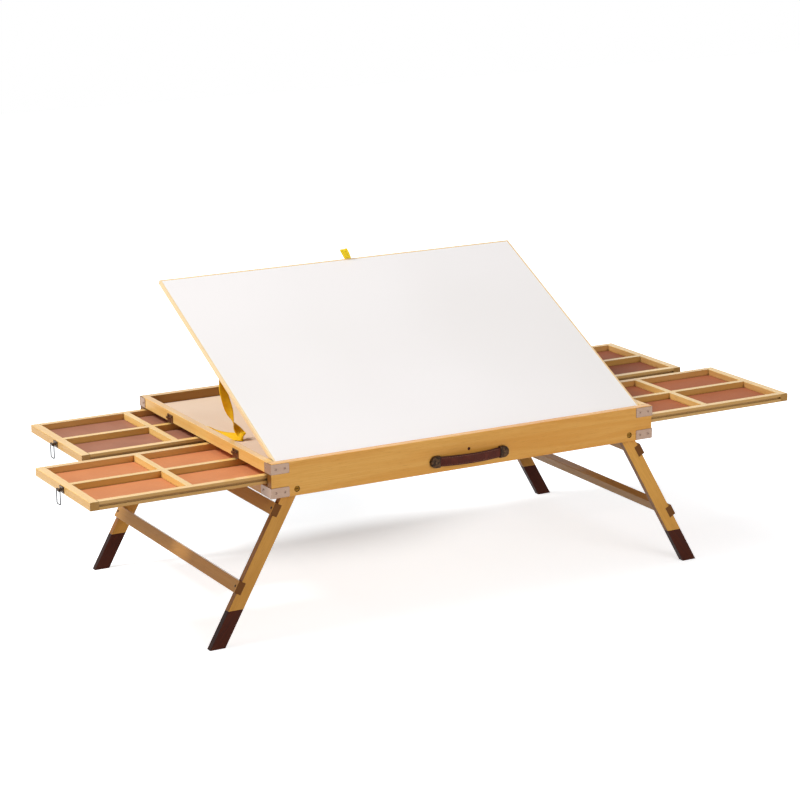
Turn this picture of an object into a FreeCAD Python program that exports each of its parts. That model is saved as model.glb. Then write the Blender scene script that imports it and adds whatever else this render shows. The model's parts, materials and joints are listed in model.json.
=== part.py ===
import FreeCAD, Part
import math
import os

# A folding puzzle table: a shallow case on two folding leg frames, four drawers that slide
# out of its ends, and a white top board that tilts up from the front.
# X runs left to right, Y from the front to the back and Z up. The origin is on the ground,
# under the middle of the whole outline. All sizes are in millimetres.

V = FreeCAD.Vector

# Case
case_width = 868.0
case_depth = 624.0
case_height = 69.0
ground_to_case = 286.0
panel_t = 17.0
side_t = 16.0
rail_height = 22.5
floor_t = 3.0
floor_seat = 6.0
edge_round = 1.2
overrun = 5.0

# Drawers
drawer_length = 408.0
drawer_height = 16.5
drawer_side_t = 14.0
drawer_end_t = 18.0
divider_t = 13.0
drawer_floor_t = 3.5
drawer_floor_seat = 5.0
housing_depth = 4.0
drawer_headroom = 2.5
drawer_play = 1.0
centre_rail_width = 34.0
partition_t = 16.0
groove_height = 4.6
groove_depth = 4.5
runner_play = 0.3
runner_back_gap = 4.0
front_kept = 47.0
back_left_kept = 157.0
back_right_kept = 105.0

# Draw latches: a plate with a tube on each drawer, a wire bail, and a keeper on the rail
latch_plate_w = 20.0
latch_plate_h = 12.0
latch_plate_t = 1.5
latch_reach = 8.0
latch_tube_r = 2.8
latch_tube_length = 11.0
latch_web_t = 2.4
bail_wire_r = 1.0
bail_play = 0.1
bail_width = 20.0
bail_length = 28.0
bail_corner_r = 3.0
bail_hook_in = 2.5
bail_bend_steps = 3
bail_sides = 8
keeper_w = 26.0
keeper_drop = 24.0
keeper_rise = 6.5
keeper_t = 1.5
keeper_tongue_w = 8.0
keeper_tongue_level = 13.5
keeper_tongue_reach = 8.5
keeper_lip = 3.0

# Leg frames
pivot_inset = 54.2
pivot_rise = 13.2
leg_splay = 29.24
leg_width = 28.0
leg_t = 14.0
leg_gap = 0.3
foot_height = 72.0
foot_tenon_w = 14.0
foot_tenon_t = 7.0
foot_tenon_length = 16.0
leg_rail_height = 25.0
leg_rail_t = 15.0
leg_rail_notch = 9.0
upper_rail_along = 41.5
lower_rail_along = 205.5
bolt_r = 3.0
bolt_play = 0.1
bolt_head_r = 5.2
bolt_head_t = 5.0
counterbore_r = 6.0
counterbore_depth = 6.5
bolt_tail = 7.0
nut_r = 5.5
nut_t = 5.0
nut_gap = 0.4
stop_gap = 0.3

# Tilting top board
lid_t = 9.0
lid_side_gap = 1.0
lid_front_gap = 1.5
lid_back_gap = 2.5
lid_edge_w = 4.0
lid_skin_t = 1.0
lid_axis_back = 8.0
lid_tilt = 26.7
lid_pin_r = 2.5
lid_pin_play = 0.1
lid_pin_in = 14.0
lid_rest_size = 12.0
lid_rest_gap = 0.3
tab_w = 28.0
tab_t = 2.0
tab_rise = 22.0
tab_x = 14.0

# Prop that holds the board up, and the notched strips under its foot
prop_share = 0.4487
prop_drop = 4.8
prop_arm_w = 14.0
prop_arm_t = 7.0
prop_arm_x = 150.0
prop_bar_w = 20.0
prop_bar_share = 0.55
prop_pin_r = 1.6
prop_pin_play = 0.1
prop_ear_t = 1.2
prop_ear_gap = 0.5
prop_plate_t = 0.8
prop_plate_w = 30.0
prop_plate_length = 18.0
foot_rod_r = 3.0
foot_rod_over = 22.0
rack_w = 12.0
rack_x_gap = 1.5
rack_clear = 0.45
rack_notch_depth = 2.0
rack_notch_play = 0.4
rack_end = 9.0
rack_angles = (lid_tilt, 32.0, 37.0, 42.0)

# Webbing straps that stop the board, and their small plates
strap_w = 17.0
strap_t = 1.5
strap_along = 268.0
strap_gap = 0.3
strap_reach = 51.0
strap_sway = 56.0
strap_plate_w = 18.0
strap_plate_l = 12.0
strap_plate_t = 1.2

# The left strap from the board down to its fold, back along the floor and up to the rail, as shares
# of the rise to the board, of the reach in from the rail, of the sway towards the front and of the
# quarter turn that brings its width from front-to-back round to side-to-side
strap_shares = ((1.0, 0.185, 0.0, 0.78), (0.802, 0.205, 0.025, 0.78), (0.647, 0.244, 0.07, 0.80),
                (0.492, 0.342, 0.105, 0.86), (0.337, 0.519, 0.016, 0.95), (0.197, 0.725, -0.073, 1.0),
                (0.089, 0.891, -0.109, 1.0), (0.031, 1.009, -0.109, 1.0), (0.005, 1.028, -0.18, 1.0),
                (0.0, 0.96, -0.305, 1.0), (0.0, 0.803, -0.573, 0.95), (0.0, 0.626, -0.877, 0.85),
                (0.0, 0.411, -1.037, 0.5), (0.0, 0.195, -1.09, 0.12), (0.008, 0.048, -1.1, 0.0),
                (0.038, 0.0, -1.1, 0.0), (0.077, 0.0, -1.1, 0.0))

# Carrying handle
handle_length = 178.0
handle_strap_h = 20.0
handle_strap_t = 4.0
handle_drop = 46.0
handle_bow = 9.0
cap_length = 21.0
cap_height = 23.5
cap_t = 8.5

# Corner bands and fasteners
band_t = 1.2
band_height = 20.0
band_front = 38.0
band_side_upper = 27.0
band_side_lower = 44.0
band_edge = 1.0
band_corner_r = 2.5
plug_r = 3.2
plug_depth = 6.0
screw_head_r = 2.8
screw_head_t = 1.2
screw_crown_share = 0.6
screw_sides = 8
bolt_head_sides = 24
bolt_sides = 16
nut_sides = 6
partition_screw_drop = 30.0

# Levels and places that follow from the sizes above
case_top = ground_to_case + case_height
half_w = case_width / 2
half_d = case_depth / 2
inner_x = half_w - side_t
inner_y = half_d - panel_t
floor_low = case_top - rail_height
floor_top = floor_low + floor_t
drawer_top = floor_low - drawer_headroom
drawer_low = drawer_top - drawer_height
drawer_mid = drawer_low + drawer_height / 2
drawer_width = inner_y - centre_rail_width / 2 - 2 * drawer_play
drawer_near = centre_rail_width / 2 + drawer_play
drawer_centre = drawer_near + drawer_width / 2
front_open = drawer_length - front_kept
back_left_open = drawer_length - back_left_kept
back_right_open = drawer_length - back_right_kept
pivot_x = half_w - pivot_inset
pivot_z = ground_to_case + pivot_rise
leg_outer_y = inner_y - leg_gap
leg_inner_y = leg_outer_y - leg_t
axis_y = -inner_y + lid_front_gap + lid_axis_back
axis_z = case_top - lid_t / 2
lid_half_w = inner_x - lid_side_gap
lid_back = 2 * inner_y - lid_front_gap - lid_axis_back - lid_back_gap
prop_length = case_depth * prop_share
prop_pin_n = -lid_t / 2 - prop_drop
front_most = half_d + (cap_t - handle_strap_t) / 2 + handle_bow + handle_strap_t
back_most = half_d + band_t + screw_head_t
case_shift = (front_most - back_most) / 2


def span_box(x, y, z):
    """A box between two X, two Y and two Z values."""
    low = V(min(x), min(y), min(z))
    return Part.makeBox(abs(x[1] - x[0]), abs(y[1] - y[0]), abs(z[1] - z[0]), low)


def rod(start, direction, radius, length):
    return Part.makeCylinder(radius, length, start, direction)


def mirrored_x(shape):
    return shape.mirror(V(0, 0, 0), V(1, 0, 0))


def mirrored_y(shape):
    return shape.mirror(V(0, 0, 0), V(0, 1, 0))


def cut_all(shape, tools):
    for tool in tools:
        shape = shape.cut(tool)
    return shape


def eased(shape, radius, along):
    """The same solid with its long edges along one direction slightly rounded."""
    edges = []
    for edge in shape.Edges:
        if len(edge.Vertexes) == 2:
            run = edge.Vertexes[1].Point.sub(edge.Vertexes[0].Point)
            if abs(abs(run.dot(along)) - run.Length) < edge_round / 1000 and run.Length > 10 * radius:
                edges.append(edge)
    return shape.makeFillet(radius, edges)


def at_corners(shape):
    """A shape at the front left corner, repeated at all four corners."""
    pair = [shape, mirrored_x(shape)]
    return pair + [mirrored_y(piece) for piece in pair]



def skinned(sections):
    """A closed solid of flat facets that joins each section, a list of points, to the next."""
    faces = []
    for near, far in zip(sections, sections[1:]):
        for i in range(len(near)):
            j = (i + 1) % len(near)
            for corners in ((near[i], near[j], far[j]), (near[i], far[j], far[i])):
                faces.append(Part.Face(Part.makePolygon(list(corners) + [corners[0]])))
    for end in (sections[0], sections[-1]):
        faces.append(Part.Face(Part.makePolygon(end + end[:1])))
    solid = Part.makeSolid(Part.makeShell(faces))
    return solid if solid.Volume > 0 else solid.reversed()


def screw(head_face, direction):
    """The raised head of a screw that goes into the wood along direction."""
    across = V(0, 0, 1)
    aside = V(direction).cross(across)
    rings = []
    for radius, rise in ((screw_head_r, 0), (screw_head_r * screw_crown_share, screw_head_t)):
        ring = []
        for side in range(screw_sides):
            turn = 2 * math.pi * side / screw_sides
            point = V(head_face) - V(direction) * rise
            ring.append(point + across * (radius * math.cos(turn)) + aside * (radius * math.sin(turn)))
        rings.append(ring)
    return skinned(rings)


# Screws of the corner bands, as places and directions at the front left corner
def band_screw_places():
    places = []
    for low, side_leaf in ((case_top - band_edge - band_height, band_side_upper),
                           (ground_to_case + band_edge, band_side_lower)):
        level = low + band_height / 2
        face_y = -half_d - band_t
        places.append((V(-half_w + band_front / 4, face_y, level), V(0, 1, 0)))
        places.append((V(-half_w + band_front * 3 / 4, face_y, level), V(0, 1, 0)))
        places.append((V(-half_w - band_t, -half_d + side_leaf * 3 / 4, level), V(1, 0, 0)))
    return places


def corner_band(low, side_leaf):
    """A thin metal band wrapped round one corner, with rounded ends."""
    z = (low, low + band_height)
    front = span_box((-half_w - band_t, -half_w + band_front), (-half_d - band_t, -half_d), z)
    side = span_box((-half_w - band_t, -half_w), (-half_d - band_t, -half_d + side_leaf), z)
    band = front.fuse(side).removeSplitter()
    ends = []
    for edge in band.Edges:
        middle = edge.CenterOfMass
        at_front_end = abs(middle.x - (-half_w + band_front)) < band_t / 4
        at_side_end = abs(middle.y - (-half_d + side_leaf)) < band_t / 4
        if edge.Length < 2 * band_t and (at_front_end or at_side_end):
            ends.append(edge)
    return band.makeFillet(band_corner_r, ends)


def handle_screw_places():
    level = case_top - handle_drop
    x = handle_length / 2 - cap_length / 2
    return [V(-x, -half_d - cap_t, level), V(x, -half_d - cap_t, level)]


def partition_plug(side):
    """The plugged screw hole in a long panel, at the end of the centre partition."""
    place = V(0, side * half_d, case_top - partition_screw_drop)
    return rod(place, V(0, -side, 0), plug_r, plug_depth)


def strap_centre_y():
    slope = math.radians(lid_tilt)
    return axis_y + strap_along * math.cos(slope)


def pivot_bolt():
    """The bolt of the front left leg: head in its counterbore, shank and lock nut."""
    head_face = -half_d + counterbore_depth
    head_start = V(-pivot_x, head_face - bolt_head_t, pivot_z)
    head = many_sided(head_start, bolt_head_r, bolt_head_sides, bolt_head_t)
    socket = Part.makeBox(bolt_r * 2, bolt_head_t / 2, bolt_head_t / 4,
                          V(-pivot_x - bolt_r, head_face - bolt_head_t, pivot_z - bolt_head_t / 8))
    length = -leg_inner_y + bolt_tail - head_face
    shank = many_sided(V(-pivot_x, head_face, pivot_z), bolt_r, bolt_sides, length)
    # The nut is a little clear of the leg, so that the leg turns freely
    nut = many_sided(V(-pivot_x, -leg_inner_y + nut_gap, pivot_z), nut_r, nut_sides, nut_t)
    return head.cut(socket).fuse(shank).fuse(nut).removeSplitter()


def many_sided(start, radius, sides, length):
    """A prism along Y with that many flat sides, from its first end."""
    points = []
    for step in range(sides + 1):
        turn = 2 * math.pi * step / sides
        points.append(start + V(radius * math.cos(turn), 0, radius * math.sin(turn)))
    return Part.Face(Part.makePolygon(points)).extrude(V(0, length, 0))


def long_panel(side):
    """The front panel at side -1, the back panel at side 1."""
    panel = span_box((-half_w, half_w), (side * inner_y, side * half_d), (ground_to_case, case_top))
    panel = eased(panel, edge_round, V(1, 0, 0))
    groove = span_box((-inner_x - floor_seat, inner_x + floor_seat),
                      (side * (inner_y - overrun), side * (inner_y + floor_seat)),
                      (floor_low, floor_top))
    tools = [groove, partition_plug(side)]
    for x in (-pivot_x, pivot_x):
        start = V(x, side * (half_d + overrun), pivot_z)
        tools.append(rod(start, V(0, -side, 0), counterbore_r, counterbore_depth + overrun))
        tools.append(rod(start, V(0, -side, 0), bolt_r + bolt_play, panel_t + 2 * overrun))
    return cut_all(panel, tools)


def lid_pin():
    start = V(-half_w + band_edge, axis_y, axis_z)
    return rod(start, V(1, 0, 0), lid_pin_r, side_t - band_edge + lid_side_gap + lid_pin_in)


def top_rail():
    """The left top rail, between the two long panels, with a rebate for the floor."""
    rail = span_box((-half_w, -inner_x), (-inner_y, inner_y), (floor_low, case_top))
    rail = eased(rail, edge_round, V(0, 1, 0))
    rebate = span_box((-inner_x - floor_seat, -inner_x + overrun), (-inner_y, inner_y),
                      (floor_low - overrun, floor_top))
    return cut_all(rail, [rebate, lid_pin()])


def lower_rail():
    rail = span_box((-half_w, -inner_x), (-inner_y, inner_y),
                    (ground_to_case, ground_to_case + rail_height))
    return eased(rail, edge_round, V(0, 1, 0))


def compartment_floor():
    x = inner_x + floor_seat
    y = inner_y + floor_seat
    return span_box((-x, x), (-y, y), (floor_low, floor_top))


def centre_rail():
    """The beam between the front and the back drawers, halved over the partition."""
    half = centre_rail_width / 2
    beam = span_box((-inner_x, inner_x), (-half, half), (drawer_low, floor_low))
    middle = (drawer_low + floor_low) / 2
    lap = span_box((-partition_t / 2, partition_t / 2), (-half, half), (drawer_low, middle))
    return beam.cut(lap)


def centre_partition():
    """The cross partition behind the drawers' inner ends, halved under the beam."""
    half = partition_t / 2
    board = span_box((-half, half), (-inner_y, inner_y), (drawer_low, floor_low))
    middle = (drawer_low + floor_low) / 2
    lap = span_box((-half, half), (-centre_rail_width / 2, centre_rail_width / 2), (middle, floor_low))
    return board.cut(lap)


def runner(wall_y, toward):
    """A batten for a right-hand drawer's side groove, on the wall at wall_y."""
    x = (partition_t / 2 + drawer_play, half_w - drawer_end_t - drawer_play)
    reach = drawer_play + groove_depth - drawer_play / 2
    half = groove_height / 2 - runner_play
    return span_box(x, (wall_y, wall_y + toward * reach), (drawer_mid - half, drawer_mid + half))


def drawer_runners():
    walls = ((-inner_y, 1), (-centre_rail_width / 2, -1), (centre_rail_width / 2, 1), (inner_y, -1))
    right = [runner(wall, toward) for wall, toward in walls]
    return right + [mirrored_x(piece) for piece in right]


def keeper_screw_places(y):
    level = case_top - keeper_rise - screw_head_r
    spread = keeper_w / 2 - screw_head_r - keeper_t
    face = -half_w - keeper_t
    return [V(face, y - spread, level), V(face, y + spread, level)]


def keeper(y):
    """A latch keeper on the left top rail: a plate with a tongue and an upturned lip."""
    face = -half_w
    plate = span_box((face - keeper_t, face), (y - keeper_w / 2, y + keeper_w / 2),
                     (case_top - keeper_drop, case_top - keeper_rise))
    half = keeper_tongue_w / 2
    level = case_top - keeper_tongue_level
    tongue = span_box((face - keeper_tongue_reach, face - keeper_t), (y - half, y + half),
                      (level, level + keeper_t))
    lip = span_box((face - keeper_tongue_reach, face - keeper_tongue_reach + keeper_t),
                   (y - half, y + half), (level, level + keeper_t + keeper_lip))
    return plate.fuse(tongue).fuse(lip).removeSplitter()


def latch_keepers():
    left = [keeper(-drawer_centre), keeper(drawer_centre)]
    return left + [mirrored_x(piece) for piece in left]


def leg_stop():
    """A wedge between the front left lower rail and the splayed leg's outer edge."""
    slope = math.tan(math.radians(leg_splay))
    edge = leg_width / 2 / math.cos(math.radians(leg_splay)) + stop_gap
    low = ground_to_case
    high = ground_to_case + rail_height
    low_x = -pivot_x - edge - (pivot_z - low) * slope
    high_x = -pivot_x - edge - (pivot_z - high) * slope
    points = [V(-inner_x, -leg_outer_y, low), V(low_x, -leg_outer_y, low),
              V(high_x, -leg_outer_y, high), V(-inner_x, -leg_outer_y, high)]
    points.append(points[0])
    wedge = Part.Face(Part.makePolygon(points)).extrude(V(0, leg_t, 0))
    return wedge.fuse(span_box((-inner_x, low_x), (-inner_y, -leg_outer_y), (low, high))).removeSplitter()


def lid_rest():
    high = axis_z - lid_t / 2 - lid_rest_gap
    return span_box((-inner_x, -inner_x + lid_rest_size), (inner_y - lid_rest_size, inner_y),
                    (floor_top, high))


# The rod's centre for a given tilt of the board, measured back from the board's axis
def rod_place(tilt):
    turn = math.radians(tilt)
    back = 2 * prop_length * math.cos(turn) - prop_pin_n * math.sin(turn)
    return back, prop_pin_n * math.cos(turn)


def prop_rack():
    """A notched strip on the compartment floor, beside the left prop arm."""
    low_back = rod_place(rack_angles[-1])[0] - rack_end
    high_back = rod_place(rack_angles[0])[0] + rack_end
    crest = axis_z + rod_place(lid_tilt)[1] - foot_rod_r - rack_clear
    inner = prop_arm_x + prop_arm_w / 2 + rack_x_gap
    strip = span_box((-inner - rack_w, -inner), (axis_y + low_back, axis_y + high_back), (floor_top, crest))
    radius = foot_rod_r + rack_notch_play
    notches = []
    for tilt in rack_angles:
        centre = V(-inner - rack_w, axis_y + rod_place(tilt)[0], crest + radius - rack_notch_depth)
        notches.append(rod(centre, V(1, 0, 0), radius, rack_w))
    return cut_all(strip, notches)


def on_lid(shape):
    """Turn a piece drawn flat about the board's axis up to the tilt of the open board."""
    shape.rotate(V(0, 0, 0), V(1, 0, 0), lid_tilt)
    shape.translate(V(0, axis_y, axis_z))
    return shape


def lid_board():
    x = lid_half_w - lid_edge_w
    board = span_box((-x, x), (-lid_axis_back + lid_edge_w, lid_back - lid_edge_w),
                     (-lid_t / 2, lid_t / 2 - lid_skin_t))
    bore = rod(V(-lid_half_w, 0, 0), V(1, 0, 0), lid_pin_r + lid_pin_play, lid_pin_in + lid_pin_play)
    return on_lid(cut_all(board, [bore, mirrored_x(bore)]))


def lid_surface():
    x = lid_half_w - lid_edge_w
    return on_lid(span_box((-x, x), (-lid_axis_back + lid_edge_w, lid_back - lid_edge_w),
                           (lid_t / 2 - lid_skin_t, lid_t / 2)))


def lid_edging():
    """Four wooden strips round the board, the side ones between the long ones."""
    z = (-lid_t / 2, lid_t / 2)
    front = span_box((-lid_half_w, lid_half_w), (-lid_axis_back, -lid_axis_back + lid_edge_w), z)
    back = span_box((-lid_half_w, lid_half_w), (lid_back - lid_edge_w, lid_back), z)
    side = span_box((-lid_half_w, -lid_half_w + lid_edge_w),
                    (-lid_axis_back + lid_edge_w, lid_back - lid_edge_w), z)
    bore = rod(V(-lid_half_w - overrun, 0, 0), V(1, 0, 0), lid_pin_r + lid_pin_play, 2 * overrun)
    side = side.cut(bore)
    return [on_lid(piece) for piece in (front, back, side, mirrored_x(side))]


def lid_pull_tab():
    """A folded ribbon on the back edge, which stands upright while the board is open."""
    half = tab_w / 2
    lean = math.radians(lid_tilt)
    foot = [V(tab_x - half, lid_back, -lid_t / 2), V(tab_x - half, lid_back + tab_t, -lid_t / 2),
            V(tab_x - half, lid_back + tab_t, lid_t / 2)]
    tip_back = V(tab_x - half, lid_back + tab_t + tab_rise * math.sin(lean), lid_t / 2 + tab_rise * math.cos(lean))
    tip_front = V(tip_back.x, tip_back.y - tab_t, tip_back.z)
    points = foot + [tip_back, tip_front, V(tab_x - half, lid_back, lid_t / 2), foot[0]]
    return on_lid(Part.Face(Part.makePolygon(points)).extrude(V(tab_w, 0, 0)))


def prop_hinge():
    """A small forked hinge under the board for the left prop arm, with its pin."""
    under = -lid_t / 2
    plate = span_box((-prop_arm_x - prop_plate_w / 2, -prop_arm_x + prop_plate_w / 2),
                     (prop_length - prop_plate_length / 2, prop_length + prop_plate_length / 2),
                     (under - prop_plate_t, under))
    ear_in = prop_arm_w / 2 + prop_ear_gap
    ear_half = prop_arm_t / 2
    ears = []
    for side in (-1, 1):
        x = (-prop_arm_x + side * ear_in, -prop_arm_x + side * (ear_in + prop_ear_t))
        ear = span_box(x, (prop_length - ear_half, prop_length + ear_half), (prop_pin_n, under))
        low = rod(V(min(x), prop_length, prop_pin_n), V(1, 0, 0), ear_half, prop_ear_t)
        ears.append(ear.fuse(low))
    pin = rod(V(-prop_arm_x - ear_in, prop_length, prop_pin_n), V(1, 0, 0), prop_pin_r, 2 * ear_in)
    return on_lid(plate.fuse(ears).fuse(pin).removeSplitter())


def strap_lid_plate():
    """The plate that clamps the left strap's upper end under the board's edge."""
    centre = strap_point(1, strap_shares[0][1], 0).x
    near = strap_along + strap_w / 3
    plate = span_box((centre - strap_plate_w / 2, centre + strap_plate_w / 2), (near, near + strap_plate_l),
                     (-lid_t / 2 - strap_plate_t, -lid_t / 2))
    return on_lid(plate)


def prop_pin_place():
    turn = math.radians(lid_tilt)
    back = prop_length * math.cos(turn) - prop_pin_n * math.sin(turn)
    rise = prop_length * math.sin(turn) + prop_pin_n * math.cos(turn)
    return V(0, axis_y + back, axis_z + rise)


def on_prop(shape):
    """Turn a piece drawn flat behind the prop's pins down to the prop's rest angle."""
    shape.rotate(V(0, 0, 0), V(1, 0, 0), -lid_tilt)
    shape.translate(prop_pin_place())
    return shape


def prop_arm():
    half_t = prop_arm_t / 2
    x = (-prop_arm_x - prop_arm_w / 2, -prop_arm_x + prop_arm_w / 2)
    arm = span_box(x, (0, prop_length), (-half_t, half_t))
    for y in (0, prop_length):
        arm = arm.fuse(rod(V(x[0], y, 0), V(1, 0, 0), half_t, prop_arm_w))
    arm = arm.removeSplitter()
    tools = [rod(V(x[0], 0, 0), V(1, 0, 0), prop_pin_r + prop_pin_play, prop_arm_w),
             rod(V(x[0], prop_length, 0), V(1, 0, 0), foot_rod_r, prop_arm_w)]
    return on_prop(cut_all(arm, tools))


def prop_crossbar():
    x = prop_arm_x - prop_arm_w / 2
    y = prop_length * prop_bar_share
    return on_prop(span_box((-x, x), (y, y + prop_bar_w), (-prop_arm_t / 2, prop_arm_t / 2)))


def prop_foot_rod():
    x = prop_arm_x + foot_rod_over
    return on_prop(rod(V(-x, prop_length, 0), V(1, 0, 0), foot_rod_r, 2 * x))


def strap_point(rise_share, reach_share, sway_share):
    """A point of the left strap's middle line."""
    slope = math.radians(lid_tilt)
    low = floor_top + strap_gap + strap_t / 2
    board = axis_z + strap_along * math.sin(slope) - (lid_t / 2 + strap_gap) / math.cos(slope)
    return V(-inner_x + strap_gap + strap_t / 2 + reach_share * strap_reach,
             strap_centre_y() - sway_share * strap_sway, low + rise_share * (board - low))


def strap_ribbon():
    """The slack left strap: a flat band carried along its middle line, its top end under the board."""
    points = [strap_point(rise, reach, sway) for rise, reach, sway, turn in strap_shares]
    sections = []
    for i, row in enumerate(strap_shares):
        turn = math.pi / 2 * row[-1]
        way = V(math.sin(turn), math.cos(turn), 0)
        along = points[min(i + 1, len(points) - 1)].sub(points[max(i - 1, 0)]).normalize()
        across = way.sub(V(along).multiply(along.dot(way))).normalize()
        normal = along.cross(across).multiply(strap_t / 2)
        across.multiply(strap_w / 2)
        sections.append([points[i].add(across).add(normal), points[i].sub(across).add(normal),
                         points[i].sub(across).sub(normal), points[i].add(across).sub(normal)])
    slope = math.tan(math.radians(lid_tilt))
    sections[0] = [V(p.x, p.y, points[0].z + (p.y - points[0].y) * slope) for p in sections[0]]
    return skinned(sections)


def drawer_cells():
    """The clear lengths and widths of a drawer's four compartments."""
    length = (drawer_length - drawer_end_t - drawer_side_t - divider_t) / 2
    width = (drawer_width - 2 * drawer_side_t - divider_t) / 2
    return length, width


def drawer_frame():
    """Four boards, drawn with the inner end at X 0 and the outer face at the full length."""
    length, width = drawer_cells()
    outer = span_box((drawer_length - drawer_end_t, drawer_length), (0, drawer_width), (0, drawer_height))
    outer = eased(outer, edge_round, V(0, 1, 0))
    near = span_box((0, drawer_length - drawer_end_t), (0, drawer_side_t), (0, drawer_height))
    far = span_box((0, drawer_length - drawer_end_t), (drawer_width - drawer_side_t, drawer_width),
                   (0, drawer_height))
    inner = span_box((0, drawer_side_t), (drawer_side_t, drawer_width - drawer_side_t), (0, drawer_height))
    seat = drawer_floor_seat
    floor_space = span_box((drawer_side_t - seat, drawer_length - drawer_end_t + seat),
                           (drawer_side_t - seat, drawer_width - drawer_side_t + seat),
                           (0, drawer_floor_t))
    mid = drawer_height / 2
    grooves = [span_box((0, drawer_length - drawer_end_t), y, (mid - groove_height / 2, mid + groove_height / 2))
               for y in ((0, groove_depth), (drawer_width - groove_depth, drawer_width))]
    tools = [floor_space] + grooves + [lengthwise_blank(), crosswise_blank()]
    return [cut_all(board, tools) for board in (outer, near, far, inner)]


def lengthwise_blank():
    length, width = drawer_cells()
    y = drawer_side_t + width
    return span_box((drawer_side_t - housing_depth, drawer_length - drawer_end_t + housing_depth),
                    (y, y + divider_t), (drawer_floor_t, drawer_height))


def crosswise_blank():
    length, width = drawer_cells()
    x = drawer_side_t + length
    return span_box((x, x + divider_t), (drawer_side_t - housing_depth, drawer_width - drawer_side_t + housing_depth),
                    (drawer_floor_t, drawer_height))


def drawer_dividers():
    """Two dividers, each cut half through where they cross."""
    length, width = drawer_cells()
    x = drawer_side_t + length
    y = drawer_side_t + width
    middle = (drawer_floor_t + drawer_height) / 2
    crossing = span_box((x, x + divider_t), (y, y + divider_t), (drawer_floor_t, middle))
    upper = span_box((x, x + divider_t), (y, y + divider_t), (middle, drawer_height))
    return [lengthwise_blank().cut(upper), crosswise_blank().cut(crossing)]


def drawer_floor():
    seat = drawer_floor_seat
    return span_box((drawer_side_t - seat, drawer_length - drawer_end_t + seat),
                    (drawer_side_t - seat, drawer_width - drawer_side_t + seat), (0, drawer_floor_t))


def latch_plate():
    """The latch's plate on a drawer's outer face, with the tube that the bail turns in."""
    middle = drawer_width / 2
    face = drawer_length
    mid = drawer_height / 2
    plate = span_box((face, face + latch_plate_t), (middle - latch_plate_w / 2, middle + latch_plate_w / 2),
                     (mid - latch_plate_h / 2, mid + latch_plate_h / 2))
    web = span_box((face, face + latch_reach), (middle - latch_tube_length / 2, middle + latch_tube_length / 2),
                   (mid - latch_web_t / 2, mid + latch_web_t / 2))
    start = V(face + latch_reach, middle - latch_tube_length / 2, mid)
    tube = rod(start, V(0, 1, 0), latch_tube_r, latch_tube_length)
    hollow = rod(start, V(0, 1, 0), bail_wire_r + bail_play, latch_tube_length)
    return plate.fuse(web).fuse(tube).cut(hollow).removeSplitter()


def bail():
    """A wire loop that hangs from the latch's tube: straight runs and bends, its ends turned in."""
    x = drawer_length + latch_reach
    middle = drawer_width / 2
    top = drawer_height / 2
    half = bail_width / 2 - bail_wire_r
    low = top - bail_length
    line = [(-bail_hook_in, top)]
    quarter_turn = math.pi / 2
    for y, z, turns in ((-1, top, 1), (-1, low, 2), (1, low, 3), (1, top, 0)):
        inward = -bail_corner_r if z == top else bail_corner_r
        for step in range(bail_bend_steps + 1):
            turn = quarter_turn * (turns + step / bail_bend_steps)
            line.append((y * (half - bail_corner_r) + bail_corner_r * math.cos(turn),
                         z + inward + bail_corner_r * math.sin(turn)))
    line.append((bail_hook_in, top))
    sections = []
    for i in range(len(line)):
        before = line[max(i - 1, 0)]
        after = line[min(i + 1, len(line) - 1)]
        along = V(0, after[0] - before[0], after[1] - before[1]).normalize()
        side = along.cross(V(1, 0, 0))
        centre = V(x, middle + line[i][0], line[i][1])
        ring = []
        for step in range(bail_sides):
            turn = math.radians(360 * (step + 1 / 2) / bail_sides)
            ring.append(centre.add(V(math.cos(turn) * bail_wire_r, 0, 0)).add(
                V(side).multiply(math.sin(turn) * bail_wire_r)))
        sections.append(ring)
    return skinned(sections)


def placed_drawer(shape, right, back, opened):
    """Put a piece of a drawer in its bay, drawn out by the given amount."""
    moved = shape.copy()
    moved.translate(V(half_w - drawer_length + opened, drawer_near, drawer_low))
    if not back:
        moved = mirrored_y(moved)
    return moved if right else mirrored_x(moved)


def leg_solids():
    """The front left leg and its foot: a round-topped bar, splayed and cut level."""
    half = leg_width / 2
    length = 2 * pivot_z
    bar = span_box((-half, half), (-leg_outer_y, -leg_inner_y), (-length, 0))
    bar = bar.fuse(rod(V(0, -leg_outer_y, 0), V(0, 1, 0), half, leg_t)).removeSplitter()
    tenon_y = -(leg_outer_y + leg_inner_y) / 2
    along = (pivot_z - foot_height) / math.cos(math.radians(leg_splay))
    tenon = span_box((-foot_tenon_w / 2, foot_tenon_w / 2),
                     (tenon_y - foot_tenon_t / 2, tenon_y + foot_tenon_t / 2),
                     (-along - foot_tenon_length, -along + foot_tenon_length))
    bore = rod(V(0, -leg_outer_y, 0), V(0, 1, 0), bolt_r + bolt_play, leg_t)
    notches = [leg_rail_blank(along) for along in (upper_rail_along, lower_rail_along)]
    bar = cut_all(bar, [bore] + notches)
    for piece in (bar, tenon):
        on_leg(piece)
    reach = 2 * length
    above = span_box((-reach, reach), (-half_d, half_d), (foot_height, reach))
    below = span_box((-reach, reach), (-half_d, half_d), (0, foot_height))
    leg = bar.common(above).fuse(tenon).removeSplitter()
    foot = bar.common(below).cut(tenon)
    return leg, foot


def on_leg(shape):
    """Turn a piece drawn below the pivot out to the splay of the left leg frame."""
    shape.rotate(V(0, 0, 0), V(0, 1, 0), leg_splay)
    shape.translate(V(-pivot_x, 0, pivot_z))
    return shape


def leg_rail_blank(along):
    outer = leg_width / 2 + leg_rail_t - leg_rail_notch
    return span_box((-outer, -outer + leg_rail_t), (-leg_outer_y, leg_outer_y),
                    (-along - leg_rail_height, -along))


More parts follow.
